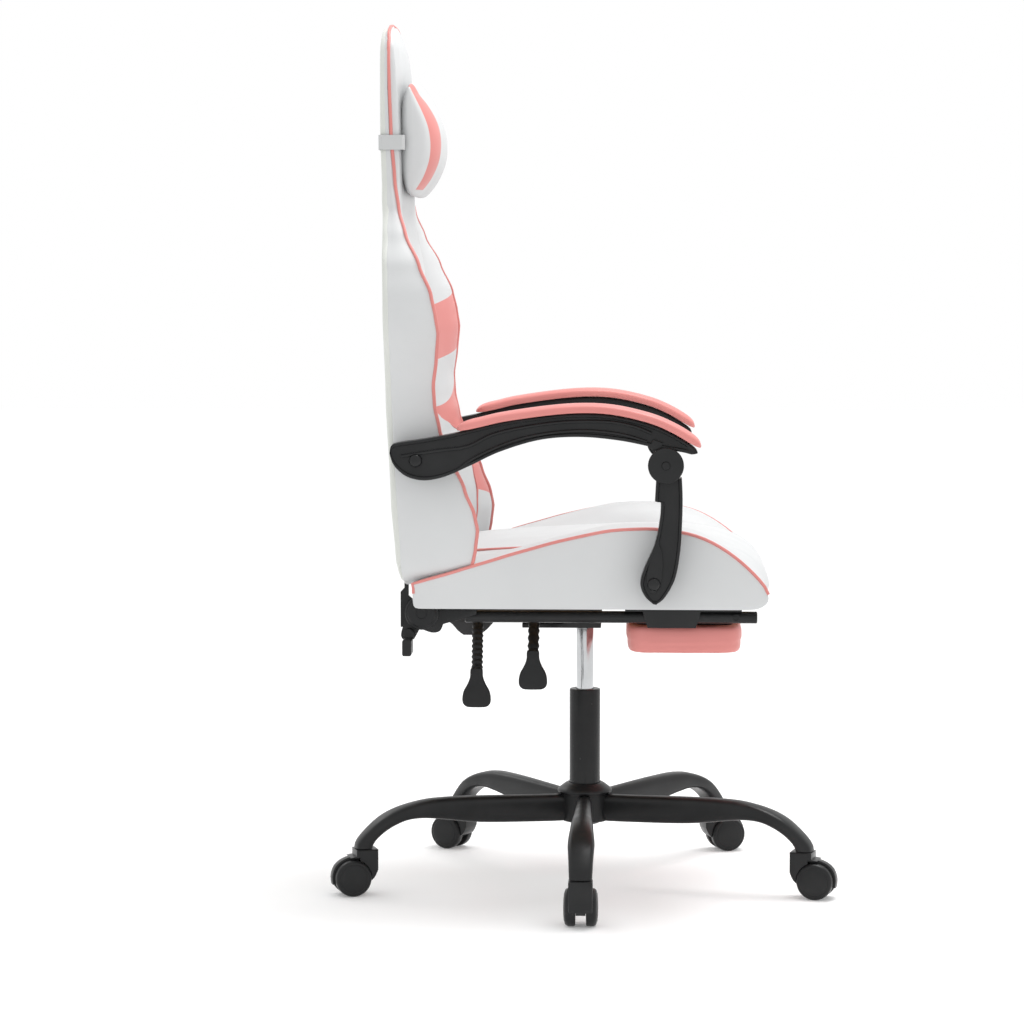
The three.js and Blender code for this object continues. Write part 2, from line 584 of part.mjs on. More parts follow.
add(chair, 'back_cushion', backCushion(), whiteLeather);
add(chair, 'headrest_pillow', headrestPillow(), pinkLeather);
add(chair, 'headrest_strap', headrestStrap(), elastic);
for (const [side, sign] of SIDES) {
  add(chair, `recliner_plate_${side}`, onSide(reclinerPlate(), sign), blackSteel);
  add(chair, `recliner_disc_${side}`, onSide(reclinerDisc(), sign), blackPlastic);
  add(chair, `arm_${side}`, onSide(armBody(), sign), blackPlastic);
  add(chair, `arm_pad_${side}`, onSide(armPad(), sign), pinkLeather);
  add(chair, `arm_link_${side}`, onSide(armLink(), sign), blackPlastic);
  add(chair, `elbow_pin_${side}`, onSide(elbowPin(), sign), blackPlastic);
  add(chair, `back_bolt_${side}`, onSide(pivotBolt(ARM_AXIS, BACK_SIDE), sign), blackSteel);
  add(chair, `seat_bolt_${side}`, onSide(pivotBolt(LINK_AXIS, SEAT_HALF_WIDTH), sign), blackSteel);
  add(chair, `footrest_guide_${side}`, onSide(footrestGuide(), sign), blackPlastic);
  add(chair, `footrest_rail_${side}`, onSide(footrestRail(), sign), blackSteel);
}
add(chair, 'footrest_axle', footrestAxle(), blackSteel);
add(chair, 'footrest_plate', footrestPlate(), greySteel);
add(chair, 'footrest_pad', footrestPad(), pinkLeather);
chair.position.x = FOOTPRINT_SHIFT;

export default chair;
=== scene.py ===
# %% [markdown]
# # A racing-style gaming chair
# The chair's sizes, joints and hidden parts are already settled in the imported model. This lesson builds the
# visible surfaces around it: sewn leather cushions, moulded nylon arms, casters and a gas lift.
# Everything is in metres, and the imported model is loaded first, because every new piece is placed by it.

# %% Load the frame
import json
import math

import bpy
from mathutils import Matrix, Vector

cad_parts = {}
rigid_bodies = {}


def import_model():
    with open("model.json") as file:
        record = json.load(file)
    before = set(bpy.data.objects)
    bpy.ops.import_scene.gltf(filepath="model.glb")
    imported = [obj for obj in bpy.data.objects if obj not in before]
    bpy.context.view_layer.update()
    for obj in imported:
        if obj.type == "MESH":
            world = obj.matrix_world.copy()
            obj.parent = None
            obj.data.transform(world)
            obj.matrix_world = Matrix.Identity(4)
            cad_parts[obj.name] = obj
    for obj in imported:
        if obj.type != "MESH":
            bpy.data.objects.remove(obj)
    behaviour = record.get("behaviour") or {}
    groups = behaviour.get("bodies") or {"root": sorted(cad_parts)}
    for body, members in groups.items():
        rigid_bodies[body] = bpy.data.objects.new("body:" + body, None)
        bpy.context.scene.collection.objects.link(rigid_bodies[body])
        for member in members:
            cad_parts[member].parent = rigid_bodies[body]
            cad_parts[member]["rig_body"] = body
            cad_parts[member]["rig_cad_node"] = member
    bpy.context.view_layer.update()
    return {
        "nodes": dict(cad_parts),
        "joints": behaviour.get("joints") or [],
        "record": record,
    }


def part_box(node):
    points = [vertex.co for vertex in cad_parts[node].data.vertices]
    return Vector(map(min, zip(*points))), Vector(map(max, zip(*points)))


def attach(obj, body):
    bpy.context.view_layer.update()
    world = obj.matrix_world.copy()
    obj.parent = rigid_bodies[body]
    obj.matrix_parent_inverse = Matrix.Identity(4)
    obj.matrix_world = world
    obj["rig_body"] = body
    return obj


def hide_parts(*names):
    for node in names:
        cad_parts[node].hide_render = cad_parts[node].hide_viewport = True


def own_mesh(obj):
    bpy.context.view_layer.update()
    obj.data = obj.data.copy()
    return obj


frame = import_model()
print("nodes in the frame:", len(frame["nodes"]))

# %% [markdown]
# The chair faces -Y and the sitter's right hand is at -X. Profiles of a chair are easiest to think of from
# the side, so places are given as across, forward and height, in millimetres from the lift's axis.

# %% Places
MM = 0.001
SIDES = (("right", -1), ("left", 1))
piston_low, piston_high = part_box("gas_piston")
LIFT_X = (piston_low.x + piston_high.x) / 2


def at(across, forward, height):
    return Vector((LIFT_X + across * MM, -forward * MM, height * MM))


print("lift axis at x =", round(LIFT_X, 4))

# %% [markdown]
# The camera has a long lens and stands almost at the height of the chair's back, square to its side. A long
# lens keeps the far side of the chair nearly as large as the near side.

# %% Camera
bpy.ops.object.select_all(action="DESELECT")
bpy.ops.object.camera_add(location=(LIFT_X - 4.8144, -0.0802, 0.9304))
camera = bpy.context.object
VIEW_LINE = Vector((0.99618, 0.03898, -0.07823))
camera.rotation_euler = VIEW_LINE.to_track_quat("-Z", "Y").to_euler()
camera.data.sensor_width = 36
camera.data.lens = 115
bpy.context.scene.camera = camera
bpy.context.scene.view_settings.view_transform = "Standard"
print("camera looks along", tuple(VIEW_LINE))

# %% [markdown]
# The floor is a plain pale sheet, like a photographer's paper. A large soft light hangs above, a second
# fills the side, a third comes from behind, and a white world lifts the shadows.

# %% Floor and light
bpy.ops.object.select_all(action="DESELECT")
bpy.ops.mesh.primitive_plane_add(size=30, location=(0, 0, 0))
floor = bpy.context.object
floor.name = "floor"


def paper(name):
    finish = bpy.data.materials.new(name)
    finish.use_nodes = True
    shader = finish.node_tree.nodes["Principled BSDF"]
    shader.inputs["Base Color"].default_value = (0.85, 0.85, 0.85, 1)
    shader.inputs["Roughness"].default_value = 0.9
    shader.inputs["Emission Color"].default_value = (1, 1, 1, 1)
    shader.inputs["Emission Strength"].default_value = 0.16
    return finish


floor.data.materials.append(paper("paper"))


def soft_light(name, place, aim, size, power):
    bpy.ops.object.light_add(type="AREA", location=place)
    lamp = bpy.context.object
    lamp.name = name
    lamp.data.shape = "SQUARE"
    lamp.data.size = size
    lamp.data.energy = power
    lamp.rotation_euler = (Vector(aim) - Vector(place)).to_track_quat("-Z", "Y").to_euler()
    return lamp


soft_light("overhead", (0.5, -0.8, 3.6), (0, 0, 0.6), 1.8, 78)
soft_light("side_fill", (-4.2, -2.4, 2.3), (0, 0, 0.7), 0.9, 2.5)
soft_light("back_rim", (2.2, 2.2, 2.6), (0, 0, 0.8), 1.4, 12)
world = bpy.data.worlds.new("studio")
bpy.context.scene.world = world
world.use_nodes = True
world.node_tree.nodes["Background"].inputs["Color"].default_value = (1, 1, 1, 1)
world.node_tree.nodes["Background"].inputs["Strength"].default_value = 1.0

# %% [markdown]
# ## Finishes
# Synthetic leather is a thin skin pressed with a pebble grain: cells about a millimetre across with fine
# creases between them. A Voronoi texture gives the cells and noise breaks up the colour and the gloss. Both
# read Object coordinates, so the grain keeps its size on every piece.


# %% Node helpers
def new_finish(name):
    finish = bpy.data.materials.new(name)
    finish.use_nodes = True
    tree = finish.node_tree
    return finish, tree, tree.nodes["Principled BSDF"]


def texture(tree, kind, scale, detail=2.0):
    place = tree.nodes.new("ShaderNodeTexCoord")
    node = tree.nodes.new(kind)
    node.inputs["Scale"].default_value = scale
    if "Detail" in node.inputs:
        node.inputs["Detail"].default_value = detail
    tree.links.new(place.outputs["Object"], node.inputs["Vector"])
    return node


def ranged(tree, source, low, high, to_low, to_high):
    node = tree.nodes.new("ShaderNodeMapRange")
    node.inputs["From Min"].default_value = low
    node.inputs["From Max"].default_value = high
    node.inputs["To Min"].default_value = to_low
    node.inputs["To Max"].default_value = to_high
    tree.links.new(source, node.inputs["Value"])
    return node.outputs["Result"]


def varied_colour(tree, source, dark, light):
    ramp = tree.nodes.new("ShaderNodeValToRGB")
    ramp.color_ramp.elements[0].position = 0.3
    ramp.color_ramp.elements[1].position = 0.7
    ramp.color_ramp.elements[0].color = (*dark, 1)
    ramp.color_ramp.elements[1].color = (*light, 1)
    tree.links.new(source, ramp.inputs["Fac"])
    return ramp.outputs["Color"]


def bumped(tree, shader, height, strength, distance, under=None):
    bump = tree.nodes.new("ShaderNodeBump")
    bump.inputs["Strength"].default_value = strength
    bump.inputs["Distance"].default_value = distance
    tree.links.new(height, bump.inputs["Height"])
    if under is not None:
        tree.links.new(under.outputs["Normal"], bump.inputs["Normal"])
    tree.links.new(bump.outputs["Normal"], shader.inputs["Normal"])
    return bump


# %% Leather
# The white is set darker than white leather is, so that it isn't burnt out under these lights.
WHITE_DARK, WHITE_LIGHT = (0.562, 0.571, 0.574), (0.588, 0.597, 0.600)
PINK_DARK, PINK_LIGHT = (0.61, 0.205, 0.188), (0.66, 0.238, 0.218)


def leather_grain(tree, shader):
    cells = texture(tree, "ShaderNodeTexVoronoi", 850)
    cells.feature = "SMOOTH_F1"
    grain = bumped(tree, shader, cells.outputs["Distance"], 0.16, 0.0004)
    waves = texture(tree, "ShaderNodeTexNoise", 38, 3)
    bumped(tree, shader, waves.outputs["Fac"], 0.10, 0.0015, under=grain)
    gloss = texture(tree, "ShaderNodeTexNoise", 14)
    tree.links.new(ranged(tree, gloss.outputs["Fac"], 0.3, 0.7, 0.40, 0.52), shader.inputs["Roughness"])
    shader.inputs["Specular IOR Level"].default_value = 0.42
    return texture(tree, "ShaderNodeTexNoise", 9).outputs["Fac"]


def plain_leather(name, dark, light):
    finish, tree, shader = new_finish(name)
    tone = leather_grain(tree, shader)
    tree.links.new(varied_colour(tree, tone, dark, light), shader.inputs["Base Color"])
    return finish


def patched_leather(name):
    """White leather with pink patches where the piece's own attribute, patch, is above nought."""
    finish, tree, shader = new_finish(name)
    tone = leather_grain(tree, shader)
    patch = tree.nodes.new("ShaderNodeAttribute")
    patch.attribute_name = "patch"
    mask = ranged(tree, patch.outputs["Fac"], -0.25, 0.25, 0.0, 1.0)
    blend = tree.nodes.new("ShaderNodeMix")
    blend.data_type = "RGBA"
    tree.links.new(mask, blend.inputs["Factor"])
    tree.links.new(varied_colour(tree, tone, WHITE_DARK, WHITE_LIGHT), blend.inputs["A"])
    tree.links.new(varied_colour(tree, tone, PINK_DARK, PINK_LIGHT), blend.inputs["B"])
    tree.links.new(blend.outputs["Result"], shader.inputs["Base Color"])
    return finish


WHITE_LEATHER = plain_leather("white_leather", WHITE_DARK, WHITE_LIGHT)
PINK_LEATHER = plain_leather("pink_leather", PINK_DARK, PINK_LIGHT)
PATCHED_LEATHER = patched_leather("patched_leather")
PANEL_LEATHER = plain_leather("panel_leather", (0.595, 0.61, 0.575), (0.62, 0.632, 0.60))
print("leathers ready")

# %% [markdown]
# Moulded nylon has a fine spark-eroded texture from its mould, a satin gloss that varies a little, and edges
# that polish with handling. Powder-coated steel is smoother, with a faint orange-peel ripple.


# %% Plastics and metals
def moulded(name, dark, light, rough, grain=1600, strength=0.12, wear=0.065):
    finish, tree, shader = new_finish(name)
    tone = texture(tree, "ShaderNodeTexNoise", 22, 4).outputs["Fac"]
    tree.links.new(varied_colour(tree, tone, dark, light), shader.inputs["Base Color"])
    fine = texture(tree, "ShaderNodeTexNoise", grain, 3)
    bumped(tree, shader, fine.outputs["Fac"], strength, 0.0003)
    scuffs = texture(tree, "ShaderNodeTexNoise", 45, 5).outputs["Fac"]
    gloss = ranged(tree, scuffs, 0.3, 0.7, rough - wear, rough + wear)
    tree.links.new(gloss, shader.inputs["Roughness"])
    shader.inputs["Specular IOR Level"].default_value = 0.26
    return finish


BLACK_PLASTIC = moulded("black_plastic", (0.009, 0.0095, 0.010), (0.014, 0.0145, 0.015), 0.34)
BLACK_RUBBER = moulded("black_rubber", (0.008, 0.0085, 0.009), (0.012, 0.0125, 0.013), 0.45)
BLACK_STEEL = moulded("black_steel", (0.008, 0.0085, 0.009), (0.014, 0.0145, 0.015), 0.26, 260, 0.012, 0.015)
GREY_STEEL = moulded("grey_steel", (0.022, 0.022, 0.023), (0.034, 0.034, 0.036), 0.36, 300, 0.015, 0.02)
PLYWOOD = moulded("plywood", (0.38, 0.24, 0.13), (0.50, 0.34, 0.20), 0.62, 240)


def chrome_finish():
    finish, tree, shader = new_finish("chrome")
    shader.inputs["Metallic"].default_value = 1.0
    haze = texture(tree, "ShaderNodeTexNoise", 30, 4).outputs["Fac"]
    tree.links.new(ranged(tree, haze, 0.3, 0.7, 0.10, 0.20), shader.inputs["Roughness"])
    tone = varied_colour(tree, haze, (0.56, 0.57, 0.58), (0.64, 0.65, 0.66))
    tree.links.new(tone, shader.inputs["Base Color"])
    return finish


def woven_elastic():
    finish, tree, shader = new_finish("elastic")
    ribs = texture(tree, "ShaderNodeTexWave", 260)
    ribs.bands_direction = "Z"
    bumped(tree, shader, ribs.outputs["Fac"], 0.5, 0.0004)
    tree.links.new(varied_colour(tree, ribs.outputs["Fac"], (0.47, 0.48, 0.48), (0.57, 0.58, 0.58)),
                   shader.inputs["Base Color"])
    shader.inputs["Roughness"].default_value = 0.8
    return finish


CHROME = chrome_finish()
ELASTIC = woven_elastic()
FINISH_OF_SLOT = {
    "black_plastic": BLACK_PLASTIC, "black_rubber": BLACK_RUBBER, "black_steel": BLACK_STEEL,
    "grey_steel": GREY_STEEL, "chrome": CHROME, "white_leather": WHITE_LEATHER,
    "pink_leather": PINK_LEATHER, "plywood": PLYWOOD, "elastic": ELASTIC,
}
SLOT_OF_NODE = {row["node"]: row["material_slot"] for row in frame["record"]["subparts"]}
for node, piece in frame["nodes"].items():
    piece.data.materials.clear()
    piece.data.materials.append(FINISH_OF_SLOT[SLOT_OF_NODE[node]])
print("finishes:", sorted(FINISH_OF_SLOT))

# %% [markdown]
# ## Ways of making
# Every new piece starts as a primitive. A grid becomes a loft when code places its points row by row along
# the piece, and its ends are filled. A filled circle becomes a turned part when it is drawn out and scaled step by step, or a
# moulded plate when its rim is laid along an outline and extruded.


# %% Smooth lines
def smooth_line(points, steps=8):
    """A Catmull-Rom curve through the points."""
    curve = []
    for k in range(len(points) - 1):
        p0 = Vector(points[max(k - 1, 0)])
        p1 = Vector(points[k])
        p2 = Vector(points[k + 1])
        p3 = Vector(points[min(k + 2, len(points) - 1)])
        for step in range(steps):
            t = step / steps
            curve.append(0.5 * (2 * p1 + (p2 - p0) * t + (2 * p0 - 5 * p1 + 4 * p2 - p3) * t * t
                                + (3 * p1 - p0 - 3 * p2 + p3) * t * t * t))
    curve.append(Vector(points[-1]))
    return curve


def evenly(points, count):
    """The same line with its points spaced evenly."""
    lengths = [0.0]
    for a, b in zip(points, points[1:]):
        lengths.append(lengths[-1] + (b - a).length)
    spaced = []
    k = 0
    for step in range(count):
        goal = lengths[-1] * step / (count - 1)
        while k < len(points) - 2 and lengths[k + 1] < goal:
            k += 1
        part = (goal - lengths[k]) / max(lengths[k + 1] - lengths[k], 1e-9)
        spaced.append(points[k].lerp(points[k + 1], min(max(part, 0), 1)))
    return spaced


def table_value(table, key, column):
    """Reads a column of a table, smoothly between its rows. The first column is the key, rising."""
    if key <= table[0][0]:
        return table[0][column]
    for low, high in zip(table, table[1:]):
        if key <= high[0]:
            t = (key - low[0]) / (high[0] - low[0])
            return low[column] + (high[column] - low[column]) * (t * 0.5 + t * t * (3 - 2 * t) * 0.5)
    return table[-1][column]


# %% Selecting and finishing
def only(piece):
    bpy.ops.object.select_all(action="DESELECT")
    piece.select_set(True)
    bpy.context.view_layer.objects.active = piece


def settled(piece, name):
    """Names the piece and puts its place into its mesh."""
    only(piece)
    bpy.ops.object.transform_apply(location=True, rotation=True, scale=True)
    piece.name = name
    piece.data.name = name
    return piece


def dressed(piece, finish, body):
    piece.data.materials.clear()
    piece.data.materials.append(finish)
    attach(piece, body)
    return piece


def bevelled(piece, width, segments=3, angle=35):
    only(piece)
    bevel = piece.modifiers.new("edges", "BEVEL")
    bevel.width = width * MM
    bevel.segments = segments
    bevel.limit_method = "ANGLE"
    bevel.angle_limit = math.radians(angle)
    bevel.harden_normals = False
    bpy.ops.object.modifier_apply(modifier=bevel.name)
    return piece


def smoothed(piece, angle=40):
    only(piece)
    bpy.ops.object.shade_smooth_by_angle(angle=math.radians(angle))
    return piece


def subdivided(piece, levels=1):
    only(piece)
    finer = piece.modifiers.new("finer", "SUBSURF")
    finer.levels = levels
    finer.render_levels = levels
    bpy.ops.object.modifier_apply(modifier=finer.name)
    return piece


# %% Lofts
WELD = 0.00002                       # points closer than this are one point


def lofted(name, rows):
    """A closed skin over rows of points. Every row is a ring with the same number of points."""
    across = len(rows[0])
    along = len(rows) - 1
    bpy.ops.object.select_all(action="DESELECT")
    bpy.ops.mesh.primitive_grid_add(x_subdivisions=across, y_subdivisions=along, size=2)
    piece = bpy.context.object
    for vertex in piece.data.vertices:
        i = round((vertex.co.x + 1) / 2 * across)
        j = round((vertex.co.y + 1) / 2 * along)
        vertex.co = rows[j][i % across]
    bpy.ops.object.mode_set(mode="EDIT")
    bpy.ops.mesh.select_all(action="SELECT")
    bpy.ops.mesh.remove_doubles(threshold=WELD)
    bpy.ops.mesh.fill_holes(sides=0)
    bpy.ops.mesh.select_all(action="SELECT")
    bpy.ops.mesh.normals_make_consistent(inside=False)
    bpy.ops.object.mode_set(mode="OBJECT")
    return settled(piece, name)


# %% Turned parts
def turned(name, profile, place, axis, sides=48):
    """A turned part: profile is (radius, length along the axis) in millimetres, from one end to the other."""
    bpy.ops.object.select_all(action="DESELECT")
    radius, start = profile[0]
    bpy.ops.mesh.primitive_circle_add(vertices=sides, radius=radius * MM, fill_type="NGON",
                                      location=(0, 0, start * MM))
    piece = bpy.context.object
    bpy.ops.object.mode_set(mode="EDIT")
    for next_radius, next_place in profile[1:]:
        step = (next_place - start) * MM
        bpy.ops.mesh.extrude_region_move(TRANSFORM_OT_translate={"value": (0, 0, step)})
        ratio = next_radius / radius
        bpy.ops.transform.resize(value=(ratio, ratio, 1))
        radius, start = next_radius, next_place
    bpy.ops.mesh.select_all(action="SELECT")
    bpy.ops.mesh.normals_make_consistent(inside=False)
    bpy.ops.object.mode_set(mode="OBJECT")
    piece.data.transform(piece.matrix_world)
    piece.matrix_world = Matrix.Identity(4)
    turn = Vector((0, 0, 1)).rotation_difference(Vector(axis)).to_matrix().to_4x4()
    piece.data.transform(Matrix.Translation(place) @ turn)
    return settled(piece, name)


# %% Moulded plates
def plate(name, outline, inner, outer, edge=2.0, segments=3):
    """A plate that stands on edge: a (forward, height) outline, from across = inner to across = outer."""
    bpy.ops.object.select_all(action="DESELECT")
    bpy.ops.mesh.primitive_circle_add(vertices=len(outline), fill_type="NGON")
    piece = bpy.context.object
    for vertex, (forward, height) in zip(piece.data.vertices, outline):
        vertex.co = at(inner, forward, height)
    bpy.ops.object.mode_set(mode="EDIT")
    bpy.ops.mesh.select_all(action="SELECT")
    bpy.ops.mesh.extrude_region_move(TRANSFORM_OT_translate={"value": ((outer - inner) * MM, 0, 0)})
    bpy.ops.mesh.select_all(action="SELECT")
    bpy.ops.mesh.normals_make_consistent(inside=False)
    bpy.ops.object.mode_set(mode="OBJECT")
    settled(piece, name)
    bevelled(piece, edge, segments)
    return smoothed(piece, 35)


def moulding(name, top, under, inner, outer, rim, sink, count=70, edge=2.0):
    """A long moulded part between a top and an under line, with a raised border round a sunken outer face."""
    rows = []
    width = abs(outer - inner)
    side = 1 if outer > inner else -1
    for high, low in zip(evenly(top, count), evenly(under, count)):
        tall = max((high - low).length, 0.4)
        up = (high - low) / tall
        depth = sink * min(max((tall - 2 * rim - 3) / 6, 0), 1)
        r = min(rim, tall * 0.32)
        e = min(edge, tall * 0.25)
        half = [(0, e), (0, width - e), (e * 0.3, width - e * 0.3), (e, width), (r * 0.6, width), (r, width),
                (r + 0.25 * e, width - depth * 0.5), (r + 0.55 * e, width - depth),
                (tall * 0.42, width - depth)]
        section = half + [(tall - t, a) for t, a in reversed(half)]
        section += [(tall - e * 0.3, e * 0.3), (tall - e, 0), (tall / 2, 0), (e, 0), (e * 0.3, e * 0.3)]
        ring = []
        for t, a in section:
            spot = low + up * t
            ring.append(at(inner + side * a, spot.x, spot.y))
        rows.append(ring)
    return smoothed(lofted(name, rows), 32)


def refined(node, edge, name=None, segments=2):
    """A copy of a frame node with its loose triangles joined and its edges rounded."""
    piece = frame["nodes"][node].copy()
    piece.data = piece.data.copy()
    piece.parent = None
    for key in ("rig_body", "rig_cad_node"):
        if key in piece:
            del piece[key]
    bpy.context.scene.collection.objects.link(piece)
    piece.name = name or node + "_finished"
    only(piece)
    bpy.ops.object.mode_set(mode="EDIT")
    bpy.ops.mesh.select_all(action="SELECT")
    bpy.ops.mesh.remove_doubles(threshold=WELD)
    bpy.ops.mesh.tris_convert_to_quads(face_threshold=0.05, shape_threshold=3.1)
    bpy.ops.mesh.dissolve_limited(angle_limit=math.radians(1))
    bpy.ops.object.mode_set(mode="OBJECT")
    bevelled(piece, edge, segments, angle=30)
    smoothed(piece, 40)
    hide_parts(node)
    return piece


def bar(name, points, radius, sides=12):
    """A round bar or cord along a line of points."""
    bpy.ops.object.select_all(action="DESELECT")
    bpy.ops.curve.primitive_nurbs_path_add()
    piece = bpy.context.object
    piece.data.splines.clear()
    spline = piece.data.splines.new("POLY")
    spline.points.add(len(points) - 1)
    for knot, place in zip(spline.points, points):
        knot.co = (*place, 1)
    piece.matrix_world = Matrix.Identity(4)
    piece.data.bevel_depth = radius * MM
    piece.data.bevel_resolution = sides // 4
    piece.data.use_fill_caps = True
    only(piece)
    bpy.ops.object.convert(target="MESH")
    piece = bpy.context.object
    bpy.ops.object.mode_set(mode="EDIT")
    bpy.ops.mesh.select_all(action="SELECT")
    bpy.ops.mesh.remove_doubles(threshold=WELD)
    bpy.ops.mesh.normals_make_consistent(inside=False)
    bpy.ops.object.mode_set(mode="OBJECT")
    return smoothed(settled(piece, name), 50)


print("helpers ready")

# %% [markdown]
# Foam under a sewn cover swells between its seams. A short cloth simulation with air pressure inside gives
# that crown: the seams are pinned, so only the panels rise. Tight covers hardly swell, so each piece has a
# cap on how far a point may move. Where the cap holds most points, it shapes the piece more than the cloth.


# %% Stuffing
SIM_FRAMES = 20


def stuffed(piece, pinned, cap, pressure=4.0):
    """Swells the piece between its pinned points by at most cap millimetres."""
    only(piece)
    rest = [vertex.co.copy() for vertex in piece.data.vertices]
    group = piece.vertex_groups.new(name="seams")
    group.add([v.index for v in piece.data.vertices if pinned(v.co)], 1.0, "REPLACE")
    cloth = piece.modifiers.new("stuffing", "CLOTH")
    cloth.settings.quality = 4
    cloth.settings.mass = 0.3
    cloth.settings.use_pressure = True
    cloth.settings.uniform_pressure_force = pressure
    cloth.settings.effector_weights.gravity = 0
    cloth.settings.vertex_group_mass = group.name
    cloth.settings.tension_stiffness = 12
    cloth.settings.compression_stiffness = 12
    cloth.settings.bending_stiffness = 0.6
    cloth.point_cache.frame_start = 1
    cloth.point_cache.frame_end = SIM_FRAMES
    scene = bpy.context.scene
    for step in range(1, SIM_FRAMES + 1):
        scene.frame_set(step)
    shaped = piece.evaluated_get(bpy.context.evaluated_depsgraph_get())
    moves = [vertex.co - start for vertex, start in zip(shaped.data.vertices, rest)]
    piece.modifiers.remove(cloth)
    piece.vertex_groups.remove(group)
    scene.frame_set(1)
    for vertex, start, move in zip(piece.data.vertices, rest, moves):
        if move.length > cap * MM:
            move = move.normalized() * cap * MM
        vertex.co = start + move
    print(piece.name, "swelled by up to", round(max(m.length for m in moves) * 1000, 1), "mm before the cap")
    return piece

# %% [markdown]
# ## Seat cushion
# A racing seat has a bolster down each side and a lower middle that rises at the front into a rounded nose.
# It is lofted across the chair: every slice is a closed side profile, and the slices change from the
# bolster's profile to the middle's.

# %% Seat profiles
SEAT_TOP = [(-239, 469), (-214, 476.5), (-189, 483.5), (-162, 492), (-132, 501), (-101.5, 510.5),
            (-70, 519.5), (-40, 528), (-10, 535), (20, 541.5), (45, 545.5), (81, 547.5), (105, 547.3),
            (136, 543.5), (165, 536), (192, 523), (218, 505), (240, 485), (255, 468), (261, 456)]
MIDDLE_TOP = [(-239, 490), (-186, 508), (-144, 512.5), (-88, 515), (-17, 517), (25, 518), (81, 520),
              (116, 521), (151, 521), (193, 519), (230, 508), (256, 486), (268, 462)]
SEAT_UNDER = [(262, 446), (255, 439), (245, 435), (222, 434.2), (137, 434.2), (0, 434.2), (-120, 434.2),
              (-236.5, 434.4)]
BOARD_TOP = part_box("seat_board")[1].z / MM
SEAT_SIDE = 243.5
SEAM_AT = 148                      # the seam between bolster and middle
TOP_COUNT, UNDER_COUNT, REAR_COUNT = 46, 42, 4


def run(points, count):
    return evenly(smooth_line([Vector((f, h, 0)) for f, h in points]), count)


bolster_line = run(SEAT_TOP, TOP_COUNT)
middle_line = run(MIDDLE_TOP, TOP_COUNT)
under_line = run(SEAT_UNDER, UNDER_COUNT)


def seat_shape(across):
    """How far a slice has changed to the middle's profile, and how high it stands above it."""
    inward = abs(across)
    if inward >= 170:
        crown = math.sin(min(max((SEAT_SIDE - inward) / 74, 0), 1) * math.pi * 0.5)
        fall = max(0.0, (205 - inward) / 35)
        return 0.30 * fall * fall, 9.0 * crown - 4 * fall
    if inward >= SEAM_AT:
        t = (170 - inward) / (170 - SEAM_AT)
        return 0.30 + 0.62 * t, 5.0 - 9.0 * t
    rise = 1 - (inward / SEAM_AT) ** 2
    edge = min((SEAM_AT - inward) / 30, 1)
    return 0.92 + 0.08 * edge, -4 + 7.5 * math.sqrt(max(edge * (2 - edge), 0)) + 3.5 * rise


def raised(lift, forward):
    """The bolster's crown is low behind, where the back rests on it."""
    return lift * min(max((forward + 150) / 190, 0.12), 1) if lift > 0 else lift


def seat_slice(across, close=1.0):
    change, lift = seat_shape(across)
    ring = []
    for k in range(TOP_COUNT):
        place = bolster_line[k].lerp(middle_line[k], min(change, 1))
        end = math.sin(math.pi * k / (TOP_COUNT - 1)) ** 0.6
        ring.append((place.x, place.y + raised(lift, place.x) * end))
    for place in under_line:
        inside = abs(across) < 206 and -234 < place.x < 242
        ring.append((place.x, BOARD_TOP + 0.8 if inside else place.y))
    for k in range(REAR_COUNT):
        t = (k + 1) / (REAR_COUNT + 1)
        ring.append((-238 - 1.5 * t, 435 + (ring[0][1] - 435) * t))
    facing = list(reversed(ring))
    ends = []
    for (forward, height), (forward_2, height_2) in zip(ring, facing):
        middle_x, middle_z = (forward + forward_2) / 2, (height + height_2) / 2
        ends.append(at(across, middle_x + (forward - middle_x) * close,
                       middle_z + (height - middle_z) * close))
    return ends


ACROSS_STEPS = [-243.5, -241, -235, -227, -219, -211, -204, -197, -190, -183, -176, -170, -164, -158, -153,
                -148, -143, -137, -129, -120, -110, -98, -84, -68, -50, -30, -10]
SEAT_SLICES = ACROSS_STEPS + [-across for across in reversed(ACROSS_STEPS)]
SIDE_FAN = [(0.0, 1.9), (0.3, 1.8), (0.6, 1.6), (0.85, 1.1), (0.96, 0.6), (0.993, 0.15)]


def seat_cushion():
    rows = [seat_slice(-SEAT_SIDE - out * 0.6, close) for close, out in SIDE_FAN]
    rows += [seat_slice(across) for across in SEAT_SLICES]
    rows += [seat_slice(SEAT_SIDE + out * 0.6, close) for close, out in reversed(SIDE_FAN)]
    return lofted("seat_cover", rows)


def mark_patches(piece, field):
    """Stores the signed distance into a pink patch, in millimetres, at every point."""
    store = piece.data.attributes.new("patch", "FLOAT", "POINT")
    for vertex, value in zip(piece.data.vertices, store.data):
        across = (vertex.co.x - LIFT_X) / MM
        value.value = field(across, -vertex.co.y / MM, vertex.co.z / MM)


def seat_pinned(place):
    across = abs((place.x - LIFT_X) / MM)
    low = place.z / MM < 452
    return low or across > 240 or abs(across - SEAM_AT) < 3


seat = seat_cushion()
stuffed(seat, seat_pinned, 6)
subdivided(seat)
smoothed(seat, 60)
dressed(seat, WHITE_LEATHER, "seat")
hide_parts("seat_cushion")
print("seat points:", len(seat.data.vertices))

# %% [markdown]
# Piping is a cord wrapped in a strip of leather and caught in a seam. It is drawn as a thin tube along the
# line where two panels meet, pressed a little into them.

# %% Seat piping
PIPING = 2.3


def piping(name, points, body, radius=PIPING):
    piece = bar(name, points, radius)
    return dressed(piece, PINK_LEATHER, body)


